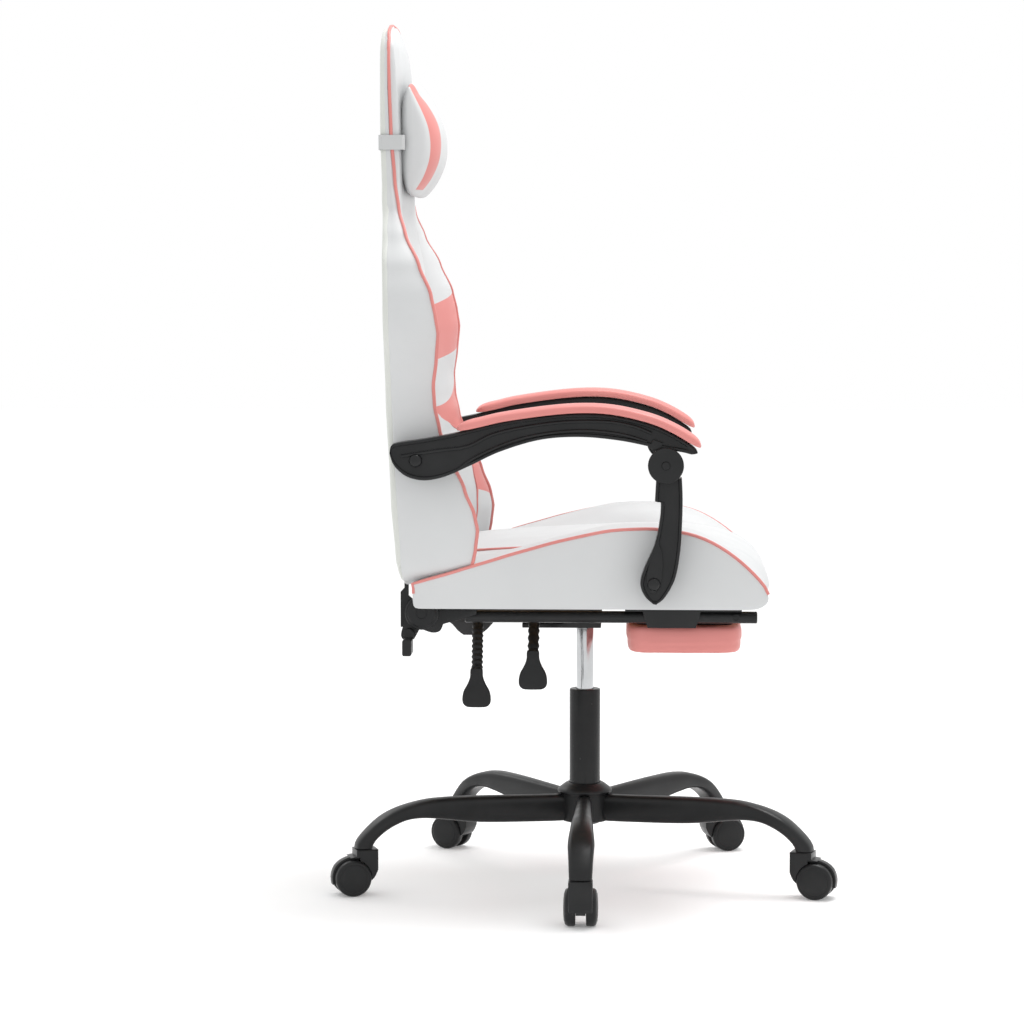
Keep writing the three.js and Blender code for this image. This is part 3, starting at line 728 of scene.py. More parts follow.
for side, sign in SIDES:
    top = [at(sign * SEAT_SIDE, place.x, place.y + 0.6) for place in bolster_line]
    tail = [at(sign * SEAT_SIDE, -237.5, height) for height in (456, 463)]
    piping(f"seat_piping_{side}", tail + top, "seat")

CROSS_SEAM = 168                     # how far forward the middle panel is sewn to the nose


def seat_point(across, k):
    """A point on the seat's top line number k."""
    change, lift = seat_shape(across)
    spot = bolster_line[k].lerp(middle_line[k], min(change, 1))
    lift = raised(lift, spot.x)
    return at(across, spot.x, spot.y + lift * math.sin(math.pi * k / (TOP_COUNT - 1)) ** 0.6 + 1.2)


cross = min(range(TOP_COUNT), key=lambda k: abs(middle_line[k].x - CROSS_SEAM))
for side, sign in SIDES:
    piping(f"seat_inner_piping_{side}", [seat_point(sign * SEAM_AT, k) for k in range(cross)], "seat", 1.9)
across_seam = [seat_point(-SEAM_AT + 2 * SEAM_AT * k / 30, cross) for k in range(31)]
welt = bar("seat_cross_welt", across_seam, 1.5)
dressed(welt, WHITE_LEATHER, "seat")
print("seat piping done")

# %% [markdown]
# ## Back cushion
# The back is lofted upwards. Each row is a level slice: flat behind, with straight sides, a wing at each
# side that comes forward to a piped edge, and a hollow middle. A table gives the slice at a few heights.

# %% Back shape
# height, half width, piped edge, wing front, middle front, rear
BACK_ROWS = [(480, 214, -178, -180, -219, -250), (484, 230, -164, -166, -218, -252),
             (491, 239, -157, -158.5, -217.5, -253.5), (502, 242, -153, -154.5, -217, -255.5),
             (518, 243, -150, -151.5, -217, -257), (545, 243.5, -147, -148.5, -217, -259),
             (566, 244, -151, -152.5, -218, -260.5), (602, 244.5, -165, -166.5, -220, -263),
             (644, 245, -183, -184.5, -224, -265), (686, 246, -200, -201, -228, -267),
             (721, 247, -207, -208, -230, -268.5), (749, 249, -208.5, -209.5, -231, -269.5),
             (784, 254, -204, -205, -232, -270.5), (822, 261, -201, -202, -234, -271.5),
             (845, 262, -204.5, -205.5, -236, -272), (875, 257, -211, -212, -240, -273),
             (917, 240, -229, -230, -246, -275), (959, 205, -250, -251, -255, -277),
             (994, 166, -262, -261.5, -261.5, -280), (1035, 150, -269, -263, -263, -282),
             (1105, 148, -274.5, -264, -264, -284), (1170, 146, -277, -267, -265, -285.5),
             (1202, 143.5, -278, -269, -265.5, -285.5), (1226, 137, -278.5, -271, -266.5, -285.5),
             (1244, 122, -278.5, -275, -273, -285), (1254, 100, -279, -277, -277, -284.5),
             (1259, 76, -279.5, -278, -278, -283.5)]
BACK_SEAM = 120                      # the seam between wing and middle, where the back is wide
BACK_BOTTOM, BACK_TOP = BACK_ROWS[0][0], BACK_ROWS[-1][0]
BACK_LEVELS = 104


def back_numbers(height):
    return [table_value(BACK_ROWS, height, column) for column in range(1, 6)]


def seam_across(height):
    half = back_numbers(height)[0]
    return min(BACK_SEAM, half - 42)


def half_slice(height):
    """The right half of a slice from the middle's front round to the middle's rear."""
    half, edge, wing, middle, rear = back_numbers(height)
    seam = seam_across(height)
    depth = wing - middle
    soft = min(half - seam, 60)
    sewn = min(max((1000 - height) / 50, 0), 1)
    front = [(0, middle + 3.5), (seam * 0.25, middle + 3.3), (seam * 0.5, middle + 2.8),
             (seam * 0.72, middle + 1.8), (seam * 0.86, middle + 0.4 * sewn),
             (seam * 0.95, middle - 2.0 * sewn), (seam, middle - 3.6 * sewn)]
    wing_face = [(0.06, 0.02), (0.16, 0.13), (0.3, 0.33), (0.46, 0.58), (0.6, 0.78), (0.73, 0.92),
                 (0.84, 0.99), (0.93, 1.0), (0.975, 0.97)]
    for out, forward in wing_face:
        swell = 2.5 * math.sin(math.pi * out)
        front.append((seam + (half - seam) * out,
                      middle - 3 * sewn + (depth + 3 * sewn) * forward + swell * soft / 60))
    side = [(half, edge + 0.5), (half + 0.4, edge - 2.5)]
    for t in (0.1, 0.25, 0.42, 0.6, 0.78, 0.9):
        side.append((half + 0.4 + 1.6 * math.sin(math.pi * t), edge - 2.5 + (rear + 6 - edge + 2.5) * t))
    side.append((half, rear + 4.5))
    back = [(half - 0.3, rear + 0.5), (half - 2, rear), (half - 22, rear - 0.2), (half * 0.7, rear - 0.2),
            (half * 0.45, rear - 0.2), (half * 0.2, rear - 0.2), (0, rear - 0.2)]
    return front + side + back


def back_slice(height, close=1.0):
    right = half_slice(height)
    half, edge, wing, middle, rear = back_numbers(height)
    centre = (rear + middle) / 2
    ring = right + [(-x, forward) for x, forward in reversed(right[1:-1])]
    fade = max(0, 1 - (height - BACK_BOTTOM) / 90) ** 2
    places = []
    for x, forward in ring:
        drop = 0.2 * (edge - forward) * fade
        places.append(at(x * (0.9 + 0.1 * close), centre + (forward - centre) * close, height - drop))
    return places


def back_cushion():
    step = (BACK_TOP - BACK_BOTTOM) / (BACK_LEVELS - 1)
    heights = [BACK_BOTTOM + k * step for k in range(BACK_LEVELS)]
    rows = [[p + Vector((0, 0, -0.001 * drop)) for p in back_slice(BACK_BOTTOM, close)]
            for close, drop in ((0.04, 0.6), (0.4, 0.6), (0.75, 0.5), (0.93, 0.3))]
    rows += [back_slice(height) for height in heights]
    rows += [[p + Vector((0, 0, 0.001 * rise)) for p in back_slice(BACK_TOP, close)]
             for close, rise in ((0.8, 1.2), (0.45, 1.8), (0.05, 2.0))]
    return lofted("back_cover", rows)


# %% [markdown]
# The wings are sewn from white and pink panels: a pink band at the shoulder and another at the waist, cut
# on a slant so that they rise towards the front edge, with white between them.


# %% Wing patches
def band(height, low, high):
    return min(height - low, high - height)


# height, how far out over the wing the pink panel is sewn to the white
WING_JOIN = [(480, 0.50), (547, 0.53), (612, 0.63), (640, 0.68), (660, 0.66), (673, 0.42), (685, 0.18),
             (700, 0.0)]


def wing_patch(across, forward, height):
    half, edge = back_numbers(height)[:2]
    out = abs(across)
    seam = seam_across(height)
    if height > 990:
        return -20.0
    part = min(max((out - seam) / (half - seam), 0), 1)
    inner = seam + (half - seam) * table_value(WING_JOIN, height, 1)
    on_face = min(out - inner, (half - 1.2) - out, (forward - (edge - 3)) + max(0, half - 8 - out) * 9)
    shoulder = band(height, 770 + 21 * part, 853 + 23 * part)
    waist = band(height, 580 - 22 * part * part, 702 + 41 * part * part)
    return min(on_face, max(shoulder, waist))


def back_pinned(place):
    across = abs((place.x - LIFT_X) / MM)
    forward, height = -place.y / MM, place.z / MM
    half, edge, wing, middle, rear = back_numbers(height)
    on_edge = across > half - 1.5 and forward > edge - 4
    inner = seam_across(height) + (half - seam_across(height)) * table_value(WING_JOIN, height, 1)
    on_seam = min(abs(across - seam_across(height)), abs(across - inner)) < 3.5 and height < 1000
    return on_edge or on_seam or forward < rear + 6 or height < 490 or height > 1256


back = back_cushion()
stuffed(back, back_pinned, 3.5)
subdivided(back)
smoothed(back, 60)
mark_patches(back, wing_patch)
dressed(back, PATCHED_LEATHER, "back")
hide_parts("back_cushion")
print("back points:", len(back.data.vertices))

# %% [markdown]
# One length of piping runs up the edge of one wing, over the top of the head and down the other wing.

# %% Back piping
WING_POINTS = 10                     # the seam and the nine points of the wing's face


def on_wing(height):
    """The wing's face at this height: how far out, and how far forward."""
    seam = seam_across(height)
    half = back_numbers(height)[0]
    rows = [((x - seam) / (half - seam), forward + 0.4)
            for x, forward in half_slice(height) if seam <= x < half]
    return rows[:WING_POINTS]


def edge_line(sign, low, high, count):
    places = []
    for k in range(count):
        height = low + (high - low) * k / (count - 1)
        half, edge = back_numbers(height)[:2]
        places.append(at(sign * (half + 0.3), edge, height))
    return places


right_edge = edge_line(-1, 482, 1238, 110)
left_edge = edge_line(1, 482, 1238, 110)
OVER_TOP = [(-119, 1246.5), (-109, 1251), (-96, 1255), (-78, 1258.8), (-50, 1261), (-20, 1261.6),
            (20, 1261.6), (50, 1261), (78, 1258.8), (96, 1255), (109, 1251), (119, 1246.5)]
over_top = [at(across, -279.3, height) for across, height in OVER_TOP]
piping("back_piping", right_edge + over_top + list(reversed(left_edge)), "back", 2.4)
for side, sign in SIDES:
    seam = []
    for k in range(60):
        height = 500 + 470 * k / 59
        half, edge, wing, middle, rear = back_numbers(height)
        share = table_value(WING_JOIN, height, 1)
        forward = middle - 2.6
        if share > 0.02:
            forward = table_value(on_wing(height), share, 1)
        seam.append(at(sign * (seam_across(height) + (half - seam_across(height)) * share), forward, height))
    piping(f"wing_seam_{side}", seam, "back", 1.7)
print("back piping done")

# %% [markdown]
# ## Rear panel
# Behind the cushion a leather-covered board closes the back. It is as wide as the cushion and reaches a little
# way forward round it, so a thin border shows from the side.


# %% Rear panel
REAR_LINE = [(470, -258), (480, -261), (505, -264.5), (586, -271), (727, -277.5), (868, -281), (965, -285),
             (1010, -289), (1108, -292), (1225, -292.5), (1262, -290)]


def panel_row(height, close=1.0, grow=0.0):
    half = back_numbers(height)[0] - 0.6 + grow
    rear = table_value(REAR_LINE, height, 1)
    ring = [(0, rear), (half * 0.3, rear), (half * 0.6, rear + 0.2), (half - 20, rear + 0.6),
            (half - 7, rear + 1.2), (half - 2, rear + 2.6), (half + 0.3, rear + 5), (half + 0.4, rear + 12), (half - 2, rear + 13),
            (half * 0.6, rear + 13), (half * 0.3, rear + 13), (0, rear + 13)]
    ring += [(-x, forward) for x, forward in reversed(ring[1:-1])]
    middle = rear + 4
    return [at(x, middle + (forward - middle) * close, height) for x, forward in ring]


def rear_panel():
    rows = [panel_row(471, 0.05), panel_row(471.5, 0.7)]
    rows += [panel_row(473 + (1252 - 473) * k / 83) for k in range(84)]
    rows += [panel_row(1255, 0.7, -4), panel_row(1256.5, 0.05, -6)]
    return lofted("rear_cover", rows)


panel = rear_panel()
subdivided(panel)
smoothed(panel, 60)
dressed(panel, PANEL_LEATHER, "back")
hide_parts("back_panel")
print("rear panel done")

# %% [markdown]
# ## Headrest pillow
# The pillow is a stuffed roll, flat behind and full in front. Its ends are smaller than its middle, and a
# pink crescent is let in between each end and the white middle.

# %% Pillow
PILLOW_SIDE = [(-253.5, 1172), (-247, 1180), (-236, 1164), (-221, 1140), (-210, 1116), (-206.5, 1092),
               (-209, 1067), (-219, 1043), (-230, 1027), (-242, 1015), (-253.5, 1016)]
PILLOW_HALF, PILLOW_REAR, PILLOW_MIDDLE = 136, -253.5, 1094
pillow_line = run(PILLOW_SIDE, 40)


def pillow_slice(across, close=1.0):
    t = abs(across) / PILLOW_HALF
    depth = 1 - 0.42 * t ** 6
    tall = 1 - 0.12 * t ** 6
    ring = [(PILLOW_REAR + (p.x - PILLOW_REAR) * depth, PILLOW_MIDDLE + (p.y - PILLOW_MIDDLE) * tall)
            for p in pillow_line]
    bulge = 11 * (1 - 0.85 * t ** 16)
    for k in range(1, 9):
        ring.append((PILLOW_REAR - bulge * math.sin(math.pi * k / 9) ** 0.35,
                     PILLOW_MIDDLE + (78 * 2 * k / 9 - 78) * tall * 0.98))
    centre = -244
    return [at(across, centre + (f - centre) * close, PILLOW_MIDDLE + (h - PILLOW_MIDDLE) * (0.5 + 0.5 * close))
            for f, h in ring]


def pillow():
    steps = [-136 + 272 * k / 44 for k in range(45)]
    rows = [pillow_slice(-138.5, 0.04), pillow_slice(-138.3, 0.45), pillow_slice(-137.6, 0.8)]
    rows += [pillow_slice(across) for across in steps]
    rows += [pillow_slice(137.6, 0.8), pillow_slice(138.3, 0.45), pillow_slice(138.5, 0.04)]
    return lofted("pillow_cover", rows)


def pillow_patch(across, forward, height):
    out = abs(across)
    tall = abs(height - 1090) / 82
    if height < 1090:
        return min(out - (80 + 12 * tall ** 2), 127 - 3 * tall - out, forward + 251, height - 1024)
    return min(out - (80 + 30 * tall ** 2), 127 + 6 * tall - out, forward + 251)


def pillow_pinned(place):
    across = abs((place.x - LIFT_X) / MM)
    return -place.y / MM < -251.5 or across > 134


headrest = pillow()
stuffed(headrest, pillow_pinned, 5, pressure=5)
subdivided(headrest)
smoothed(headrest, 60)
mark_patches(headrest, pillow_patch)
dressed(headrest, PATCHED_LEATHER, "back")
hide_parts("headrest_pillow")
print("pillow points:", len(headrest.data.vertices))

# %% [markdown]
# The strap is a flat woven elastic band, so the frame's own band carries it, with a ribbed weave.
#
# ## Armrests
# An armrest is a moulded nylon arm with a raised border round a sunken panel, a padded top, and a curved
# link down to the seat. The outline is drawn once for the left side and mirrored by its sign for the right.

# %% Arm outlines
ARM_TOP = [(-267.6, 657), (-266, 665.5), (-258, 670), (-216, 676.5), (-170, 685.5), (-108, 700),
           (-45, 708.5), (3, 711.4), (46, 708.5), (93, 697.5), (124, 684.5), (150, 669), (159, 661.5),
           (160.5, 658)]
ARM_UNDER = [(-267.6, 655), (-264, 643), (-256, 632), (-241, 622), (-218, 618), (-190, 623.6), (-155, 639),
             (-113.5, 658.5), (-58, 675), (-2.6, 679), (53, 674), (101, 664.5), (140, 658), (152, 655),
             (160, 656.5)]
ARM_RIBS = ([(-252, 655), (-201, 663), (-159, 669), (-117, 688), (-39, 702), (30, 704), (70, 698), (96, 688)],
            [(-171, 638), (-140, 658), (-81, 681), (-9, 691), (50, 687), (90, 676)])
ARM_INNER, ARM_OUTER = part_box("arm_left")[0].x - LIFT_X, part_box("arm_left")[1].x - LIFT_X
ARM_INNER, ARM_OUTER = ARM_INNER / MM, ARM_OUTER / MM
ARM_MIDDLE = (ARM_INNER + ARM_OUTER) / 2


def line(points, steps=8):
    return smooth_line([Vector((f, h, 0)) for f, h in points], steps)


def flat(points, steps=6):
    return [(p.x, p.y) for p in line(points, steps)]


def joined(name, *pieces):
    only(pieces[0])
    for piece in pieces[1:]:
        piece.select_set(True)
    bpy.ops.object.join()
    pieces[0].name = name
    pieces[0].data.name = name
    return pieces[0]


def arm(side, sign):
    body = moulding(f"arm_shell_{side}", line(ARM_TOP), line(ARM_UNDER), sign * ARM_INNER, sign * ARM_OUTER,
                    4.4, 3.4, 110)
    ribs = []
    for k, rib in enumerate(ARM_RIBS):
        places = [at(sign * (ARM_OUTER - 2.4), f, h - 3.5) for f, h in flat(rib)]
        ribs.append(bar(f"arm_rib_{side}{k}", places, 2.3))
    block = plate(f"arm_block_{side}", [(92, 663.5), (99, 676), (113, 671), (108, 660.5)],
                  sign * (ARM_MIDDLE + 8), sign * (ARM_OUTER + 0.3), 1.0)
    shell = joined(f"arm_shell_{side}", body, block, *ribs)
    dressed(shell, BLACK_PLASTIC, f"arm_{side}")
    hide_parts(f"arm_{side}")
    return shell


# %% Arm pads
PAD_LINE = [(-174, 684.5), (-140, 692.2), (-108, 699.6), (-45, 708.6), (3, 711.8), (46, 709), (93, 698),
            (124, 685), (150, 669.6), (163, 660.8)]
PAD_HALF, PAD_THICK = 28.5, 13.2


def arm_pad(side, sign):
    spine = run(PAD_LINE, 60)
    rows = []
    for k, p in enumerate(spine):
        along = spine[min(k + 1, len(spine) - 1)] - spine[max(k - 1, 0)]
        up = Vector((-along.y, along.x, 0)).normalized()
        t = k / (len(spine) - 1)
        end = min(t, 1 - t) * 14
        taper = math.sqrt(max(1 - max(0, 1 - end) ** 2, 0.0))
        ring = []
        for m in range(28):
            turn = 2 * math.pi * m / 28
            c, s = math.cos(turn), math.sin(turn)
            out = math.copysign(abs(c) ** 0.45, c) * PAD_HALF * (0.55 + 0.45 * taper)
            if s >= 0:
                rise = (abs(s) ** 0.6) * (PAD_THICK * (0.35 + 0.65 * taper) - 3)
            else:
                rise = -(abs(s) ** 0.3) * 3 * taper
            spot = p + up * (rise + 3.6)
            ring.append(at(sign * ARM_MIDDLE + out, spot.x, spot.y))
        rows.append(ring)
    pad = lofted(f"arm_pad_cover_{side}", rows)
    subdivided(pad)
    smoothed(pad, 60)
    dressed(pad, PINK_LEATHER, f"arm_{side}")
    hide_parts(f"arm_pad_{side}")


# %% Links and bolts
LINK_FRONT = [(138.8, 622), (140, 592), (139, 551), (136.4, 516), (129.6, 481), (116, 456), (104, 445.5)]
LINK_REAR = [(109.8, 588), (108.5, 565), (101.7, 530), (86.6, 495), (81.5, 474), (88, 457), (99, 446.5)]
ELBOW = (116.5, 639.6)
LINK_BOLT = (100.5, 474)
ARM_BOLT = (-231.6, 645.7)


def side_disc(name, centre, profile, sign, sides=48):
    """A turned disc that faces outwards: profile is (radius, across)."""
    place = Vector((LIFT_X, -centre[0] * MM, centre[1] * MM))
    return turned(name, profile, place, (sign, 0, 0), sides)


def link(side, sign):
    inner, outer = sign * (ARM_MIDDLE - 14.5), sign * (ARM_MIDDLE + 14.5)
    rear = [Vector((103.2, 622, 0)), Vector((101.5, 589.5, 0))] + line(LINK_REAR)
    body = moulding(f"link_body_{side}", line(LINK_FRONT), rear, inner, outer, 4.0, 3.0, 90)
    drop = flat([(104, 540), (112.5, 512), (110.5, 480), (101, 461), (91, 470), (90.5, 490), (99, 518),
                 (104, 540)], 5)
    panel = plate(f"link_panel_{side}", drop[:-1], sign * (ARM_MIDDLE + 11), sign * (ARM_MIDDLE + 14.6), 1.2)
    spots = (ARM_MIDDLE - 14.5, ARM_MIDDLE - 7, ARM_MIDDLE + 7, ARM_MIDDLE + 14.5)
    eyes = [side_disc(f"link_eye_{side}{k}", ELBOW, [(20, spots[k]), (21, spots[k] + 1), (21, spots[k + 1] - 1),
                                                   (20, spots[k + 1])], sign) for k in (0, 2)]
    shell = joined(f"link_shell_{side}", body, panel, *eyes)
    dressed(shell, BLACK_PLASTIC, f"link_{side}")
    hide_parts(f"arm_link_{side}")
    cap_at = ARM_OUTER + 0.4
    cap = side_disc(f"elbow_cap_{side}", ELBOW, [(24, cap_at), (25, cap_at + 0.8), (25, cap_at + 4), (24.2, cap_at + 4.8),
                                                 (6.2, cap_at + 5.1), (6.2, cap_at + 4.4), (5.4, cap_at + 4.2),
                                                 (5.4, cap_at + 6), (4.6, cap_at + 6.6), (2, cap_at + 6.6)], sign)
    pin = side_disc(f"elbow_pin_{side}_shaft", ELBOW, [(5, ARM_MIDDLE - 14), (5, cap_at + 1)], sign, 24)
    cap = joined(f"elbow_cap_{side}", cap, pin)
    smoothed(cap, 35)
    dressed(cap, BLACK_PLASTIC, f"link_{side}")
    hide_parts(f"elbow_pin_{side}")


def dome_bolt(name, centre, sign, body, node):
    face = ARM_OUTER + 0.3
    profile = [(5.3, ARM_INNER - 4), (5.3, face - 3), (9.2, face - 3), (9.2, face - 0.4), (8.6, face + 1.2),
               (7.2, face + 2.8), (5.2, face + 3.9), (2.6, face + 4.4), (0.4, face + 4.5)]
    bolt = side_disc(name, centre, profile, sign, 32)
    washer = side_disc(name + "_spacer", centre, [(9.4, ARM_INNER - 6), (10, ARM_INNER - 5.4), (10, ARM_INNER - 1),
                                                  (9.4, ARM_INNER - 0.4)], sign, 32)
    bolt = joined(name, bolt, washer)
    smoothed(bolt, 35)
    dressed(bolt, BLACK_STEEL, body)
    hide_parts(node)


for side, sign in SIDES:
    arm(side, sign)
    arm_pad(side, sign)
    link(side, sign)
    dome_bolt(f"back_bolt_head_{side}", ARM_BOLT, sign, "back", f"back_bolt_{side}")
    dome_bolt(f"seat_bolt_head_{side}", LINK_BOLT, sign, "seat", f"seat_bolt_{side}")
print("armrests done")

# %% [markdown]
# ## Star base and gas lift
# Each leg is one moulding that runs level from the hub and bends down to its caster. Its section is a
# rounded box with a flat ridge along the top, so it is lofted from rings set square to the leg's line.

# %% Leg
LEG_TOP = [(22, 134), (69, 134.5), (161, 137), (222, 137), (255, 133.5), (287, 125), (312, 112.5), (333, 95),
           (347, 79), (350, 69)]
LEG_UNDER = [(22, 94.5), (69, 95), (161, 98.5), (222, 106), (250, 108.8), (274, 107), (294, 99.5),
             (310, 89.5), (322, 78), (326, 69)]
LEG_HALF = [(22, 11), (69, 11.5), (161, 13.5), (255, 16.5), (305, 19), (340, 17), (352, 15.5)]
LEG_COUNT, LEG_RINGS = 5, 54


def leg_rows():
    top = run(LEG_TOP, LEG_RINGS)
    under = run(LEG_UNDER, LEG_RINGS)
    rows = []
    for high, low in zip(top, under):
        half = table_value(LEG_HALF, (high.x + low.x) / 2 + 8, 1)
        ring = []
        for m in range(32):
            turn = 2 * math.pi * m / 32
            c, s = math.cos(turn), math.sin(turn)
            out = math.copysign(abs(c) ** 0.55, c) * half
            rise = math.copysign(abs(s) ** 0.62, s)
            if s > 0.55:
                rise += 0.05 * (1 - min(abs(out) / (half * 0.55), 1))
            spot = low.lerp(high, 0.5 + 0.5 * rise)
            ring.append(Vector((spot.x * MM, out * MM, spot.y * MM)))
        rows.append(ring)
    return rows


def star_base():
    pieces = []
    for index in range(LEG_COUNT):
        angle = math.pi + index * 2 * math.pi / LEG_COUNT
        turn = Matrix.Translation((LIFT_X, 0, 0)) @ Matrix.Rotation(angle, 4, "Z")
        rows = [[turn @ p for p in ring] for ring in leg_rows()]
        pieces.append(smoothed(lofted(f"leg_{index + 1}", rows), 50))
    hub = turned("hub", [(33, 94), (35.5, 95.5), (36, 132), (37, 135), (40, 137), (40.6, 139), (40, 141),
                         (36, 144.5), (28.5, 150), (26.8, 151), (24, 151), (23.3, 150.4), (23.3, 146)],
                 Vector((LIFT_X, 0, 0)), (0, 0, 1), 64)
    pieces.append(smoothed(hub, 40))
    base = joined("star_base_shell", *pieces)
    dressed(base, BLACK_PLASTIC, "base")
    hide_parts("star_base")


star_base()
lift_foot = Vector((LIFT_X, 0, 0))
column = turned("column_tube", [(21, 90), (22.8, 91), (22.8, 288.6), (22.2, 290.4), (20.6, 291), (14.4, 291),
                                (13.4, 290), (13.4, 281)], lift_foot, (0, 0, 1), 64)
smoothed(column, 35)
dressed(column, BLACK_STEEL, "base")
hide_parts("gas_column")
piston = turned("piston_rod", [(12.4, 110), (12.6, 111), (12.6, 396), (12, 397.8)], lift_foot, (0, 0, 1), 64)
smoothed(piston, 35)
dressed(piston, CHROME, "lift")
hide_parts("gas_piston")
print("base and lift done")

# %% [markdown]
# ## Casters
# A twin-wheel caster has a hood that swivels on a stem and two wheels on one axle. The wheels are turned
# parts with a rolled rim and a shallow dished face. Their places come from the joints of the frame.


# %% Wheels and hoods
def joint_named(name):
    return next(joint for joint in frame["joints"] if joint["name"] == name)


WHEEL_PROFILE = [
    (24.6, 7.5), (26.1, 8.2), (26.5, 9.6), (26.5, 16.6), (26.2, 18.6), (25.2, 20.6), (23.6, 21.9),
    (21.6, 22.5), (20.9, 22.3), (20.5, 22.8), (19, 23.4), (12, 24.1), (3, 24.4)]


def caster(number):
    hood = refined(f"caster_hood_{number}", 1.2, f"caster_hood_shell_{number}", 3)
    dressed(hood, BLACK_PLASTIC, f"caster_{number}")
    for letter, side in (("a", 1), ("b", -1)):
        low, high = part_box(f"caster_wheel_{number}{letter}")
        joint = joint_named(f"wheel_{number}{letter}_spin")
        axle = Vector(joint["axis"])
        centre = Vector(joint["pos_m"])
        out = axle if ((low + high) / 2 - centre).dot(axle) > 0 else -axle
        wheel = turned(f"wheel_{number}{letter}", WHEEL_PROFILE, centre, out, 48)
        smoothed(wheel, 35)
        dressed(wheel, BLACK_PLASTIC, f"wheel_{number}{letter}")
        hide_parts(f"caster_wheel_{number}{letter}")


for number in range(1, LEG_COUNT + 1):
    caster(number)
print("casters done")

# %% [markdown]
# ## Under the seat
# The pressed steel parts only need their edges rounded: pressed steel has no sharp corner, and a rounded
# edge is what catches the light. The levers are made new, with a ribbed grip.

# %% Steel parts
for node, edge, slot, body in (
        ("mechanism_plate", 1.6, "grey_steel", "seat"), ("tilt_socket", 1.2, "black_steel", "swivel"),
        ("recliner_plate_right", 0.8, "black_steel", "seat"), ("recliner_plate_left", 0.8, "black_steel", "seat"),
        ("footrest_guide_right", 1.0, "black_plastic", "seat"), ("footrest_guide_left", 1.0, "black_plastic", "seat"),
        ("footrest_plate", 0.7, "grey_steel", "footrest"), ("recline_lever", 1.0, "black_plastic", "recline_lever")):
    dressed(refined(node, edge), FINISH_OF_SLOT[slot], body)

SPRING_LOW, SPRING_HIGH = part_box("tilt_spring")
SPRING_FOOT = Vector(((SPRING_LOW.x + SPRING_HIGH.x) / 2, (SPRING_LOW.y + SPRING_HIGH.y) / 2, SPRING_LOW.z))
COIL_TURNS, WIRE = 4, 2.4
coil = []
for k in range(COIL_TURNS * 24 + 1):
    turn = 2 * math.pi * k / 24
    rise = (SPRING_HIGH.z - SPRING_LOW.z - 2 * WIRE * MM) * k / (COIL_TURNS * 24)
    coil.append(SPRING_FOOT + Vector((0.014 * math.cos(turn), 0.014 * math.sin(turn), WIRE * MM + rise)))
spring = bar("tilt_spring_coil", coil, WIRE)
dressed(spring, GREY_STEEL, "swivel")
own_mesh(spring)
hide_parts("tilt_spring")

RECLINE_AXIS = (-227, 426.5)
PLATE_OUTER = (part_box("recliner_plate_left")[1].x - LIFT_X) / MM
for side, sign in SIDES:
    start = PLATE_OUTER + 0.4
    disc = side_disc(f"recliner_cover_{side}", RECLINE_AXIS,
                     [(22.6, start), (24, start + 1.2), (24, start + 6.4), (23, start + 7.6), (20.4, start + 8),
                      (20, start + 9), (19, start + 9.8), (8, start + 9.8), (7.4, start + 9), (2, start + 9)], sign)
    smoothed(disc, 35)
    dressed(disc, BLACK_PLASTIC, "back")
    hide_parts(f"recliner_disc_{side}")
    across = sign * (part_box("footrest_rail_left")[0].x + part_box("footrest_rail_left")[1].x - 2 * LIFT_X) / 2 / MM
    low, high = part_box(f"footrest_rail_{side}")
    rail_height = (low.z + high.z) / 2 / MM
    length = [(7.4, 0), (8.5, 1.1), (8.5, (high.y - low.y) / MM - 1.1), (7.4, (high.y - low.y) / MM)]
    rail = turned(f"rail_{side}", length, Vector((LIFT_X + across * MM, high.y, rail_height * MM)), (0, -1, 0), 40)
    screw = side_disc(f"rail_screw_{side}", (217, rail_height), [(5.6, abs(across) + 6), (5.6, abs(across) + 8.7),
                      (4.6, abs(across) + 9.3), (3.2, abs(across) + 9.3), (2.8, abs(across) + 8.2)], sign, 28)
    rail = joined(f"rail_{side}", rail, screw)
    smoothed(rail, 35)
    dressed(rail, BLACK_STEEL, "footrest_rails")
    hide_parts(f"footrest_rail_{side}")
print("steel parts done")


# %% Levers
LEVER_HEIGHT = 408


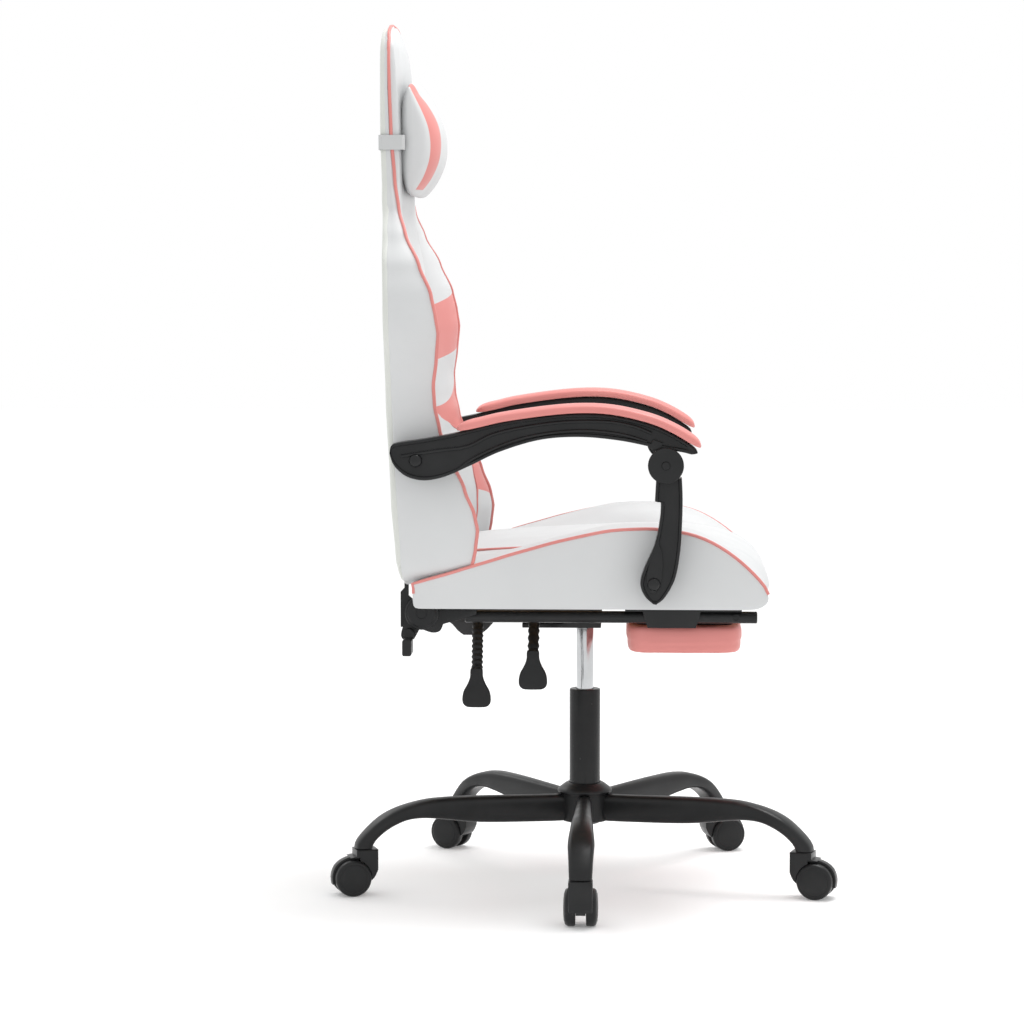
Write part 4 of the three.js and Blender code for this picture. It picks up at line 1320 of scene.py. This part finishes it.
def lever(name, forward, drop, ribs, node):
    tip = LEVER_HEIGHT - drop
    route = [at(-62, forward, LEVER_HEIGHT), at(-84, forward, 407.4), at(-100, forward, 403),
             at(-120, forward, 388), at(-138, forward, tip + 48), at(-149, forward, tip + 24), at(-153, forward, tip + 10)]
    spine = evenly(smooth_line(route, 10), 30 + ribs * 6)
    rows = []
    for k, p in enumerate(spine):
        t = k / (len(spine) - 1)
        along = (spine[min(k + 1, len(spine) - 1)] - spine[max(k - 1, 0)]).normalized()
        side = Vector((0, 1, 0))
        normal = along.cross(side).normalized()
        wide = 4.2 + 3.6 * min(max((t - 0.1) / 0.12, 0), 1)
        if 0.34 < t < 0.84:
            wave = math.sin((t - 0.34) / 0.5 * ribs * 2 * math.pi)
            wide += 0.8 * wave
        thick = wide * 0.8
        ring = [p + side * (wide * MM * math.cos(a)) + normal * (thick * MM * math.sin(a))
                for a in (2 * math.pi * m / 20 for m in range(20))]
        rows.append(ring)
    grip = smoothed(lofted(name + "_grip", rows), 50)
    half = [(0, 48), (8.2, 46), (9.4, 34), (13, 24), (18.4, 14), (20.5, 4), (19.6, -4), (14.5, -9), (6, -10), (0, -10)]
    edge = flat(half, 5)
    outline = edge + [(-x, h) for x, h in reversed(edge[1:-1])]
    paddle = plate(name + "_paddle", [(forward + x, tip + h) for x, h in outline], -150.5, -160.5, 3.0, segments=4)
    piece = joined(name + "_handle", grip, paddle)
    dressed(piece, BLACK_RUBBER, node)
    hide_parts(node)


lever("height", -72, 89, 5, "height_lever")
lever("tilt", -153, 115, 10, "tilt_lever")
print("levers done")

# %% [markdown]
# ## Footrest
# The pad is a thick cushion with rounded corners, sewn round its middle. It is lofted from rounded level
# rings. Its cap is the smallest, so it keeps nearly the shape of the rings.

# %% Footrest pad
pad_low, pad_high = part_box("footrest_pad")


def footrest_pad():
    centre = (pad_low + pad_high) / 2
    size = pad_high - pad_low
    rows = []
    for k in range(27):
        t = -1 + 2 * k / 26
        level = centre.z + size.z / 2 * math.sin(t * math.pi / 2) * 0.985
        pull = 0.006 * (1 - math.sqrt(max(1 - abs(math.sin(t * math.pi / 2)) ** 5, 0)))
        ring = []
        for m in range(112):
            turn = 2 * math.pi * m / 112
            c, s = math.cos(turn), math.sin(turn)
            x = math.copysign(abs(c) ** 0.16, c) * (size.x / 2 - 0.002 - pull)
            y = math.copysign(abs(s) ** 0.26, s) * (size.y / 2 - 0.002 - pull)
            ring.append(Vector((centre.x + x, centre.y + y, level)))
        rows.append(ring)
    caps = []
    for share in (0.93, 0.8, 0.62, 0.42, 0.2):
        caps.append([centre + Vector(((p.x - centre.x) * share, (p.y - centre.y) * share,
                                      size.z / 2 * 0.985)) for p in rows[-1]])
    below = [[Vector((p.x, p.y, 2 * centre.z - p.z)) for p in ring] for ring in reversed(caps)]
    return lofted("footrest_cover", below + rows + caps)


def footrest_pinned(place):
    middle = (pad_low.z + pad_high.z) / 2
    return abs(place.z - middle) < 0.0015 or place.z > pad_high.z - 0.0012


footrest = footrest_pad()
stuffed(footrest, footrest_pinned, 1.2)
smoothed(footrest, 60)
dressed(footrest, PINK_LEATHER, "footrest")
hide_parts("footrest_pad")
print("footrest done")
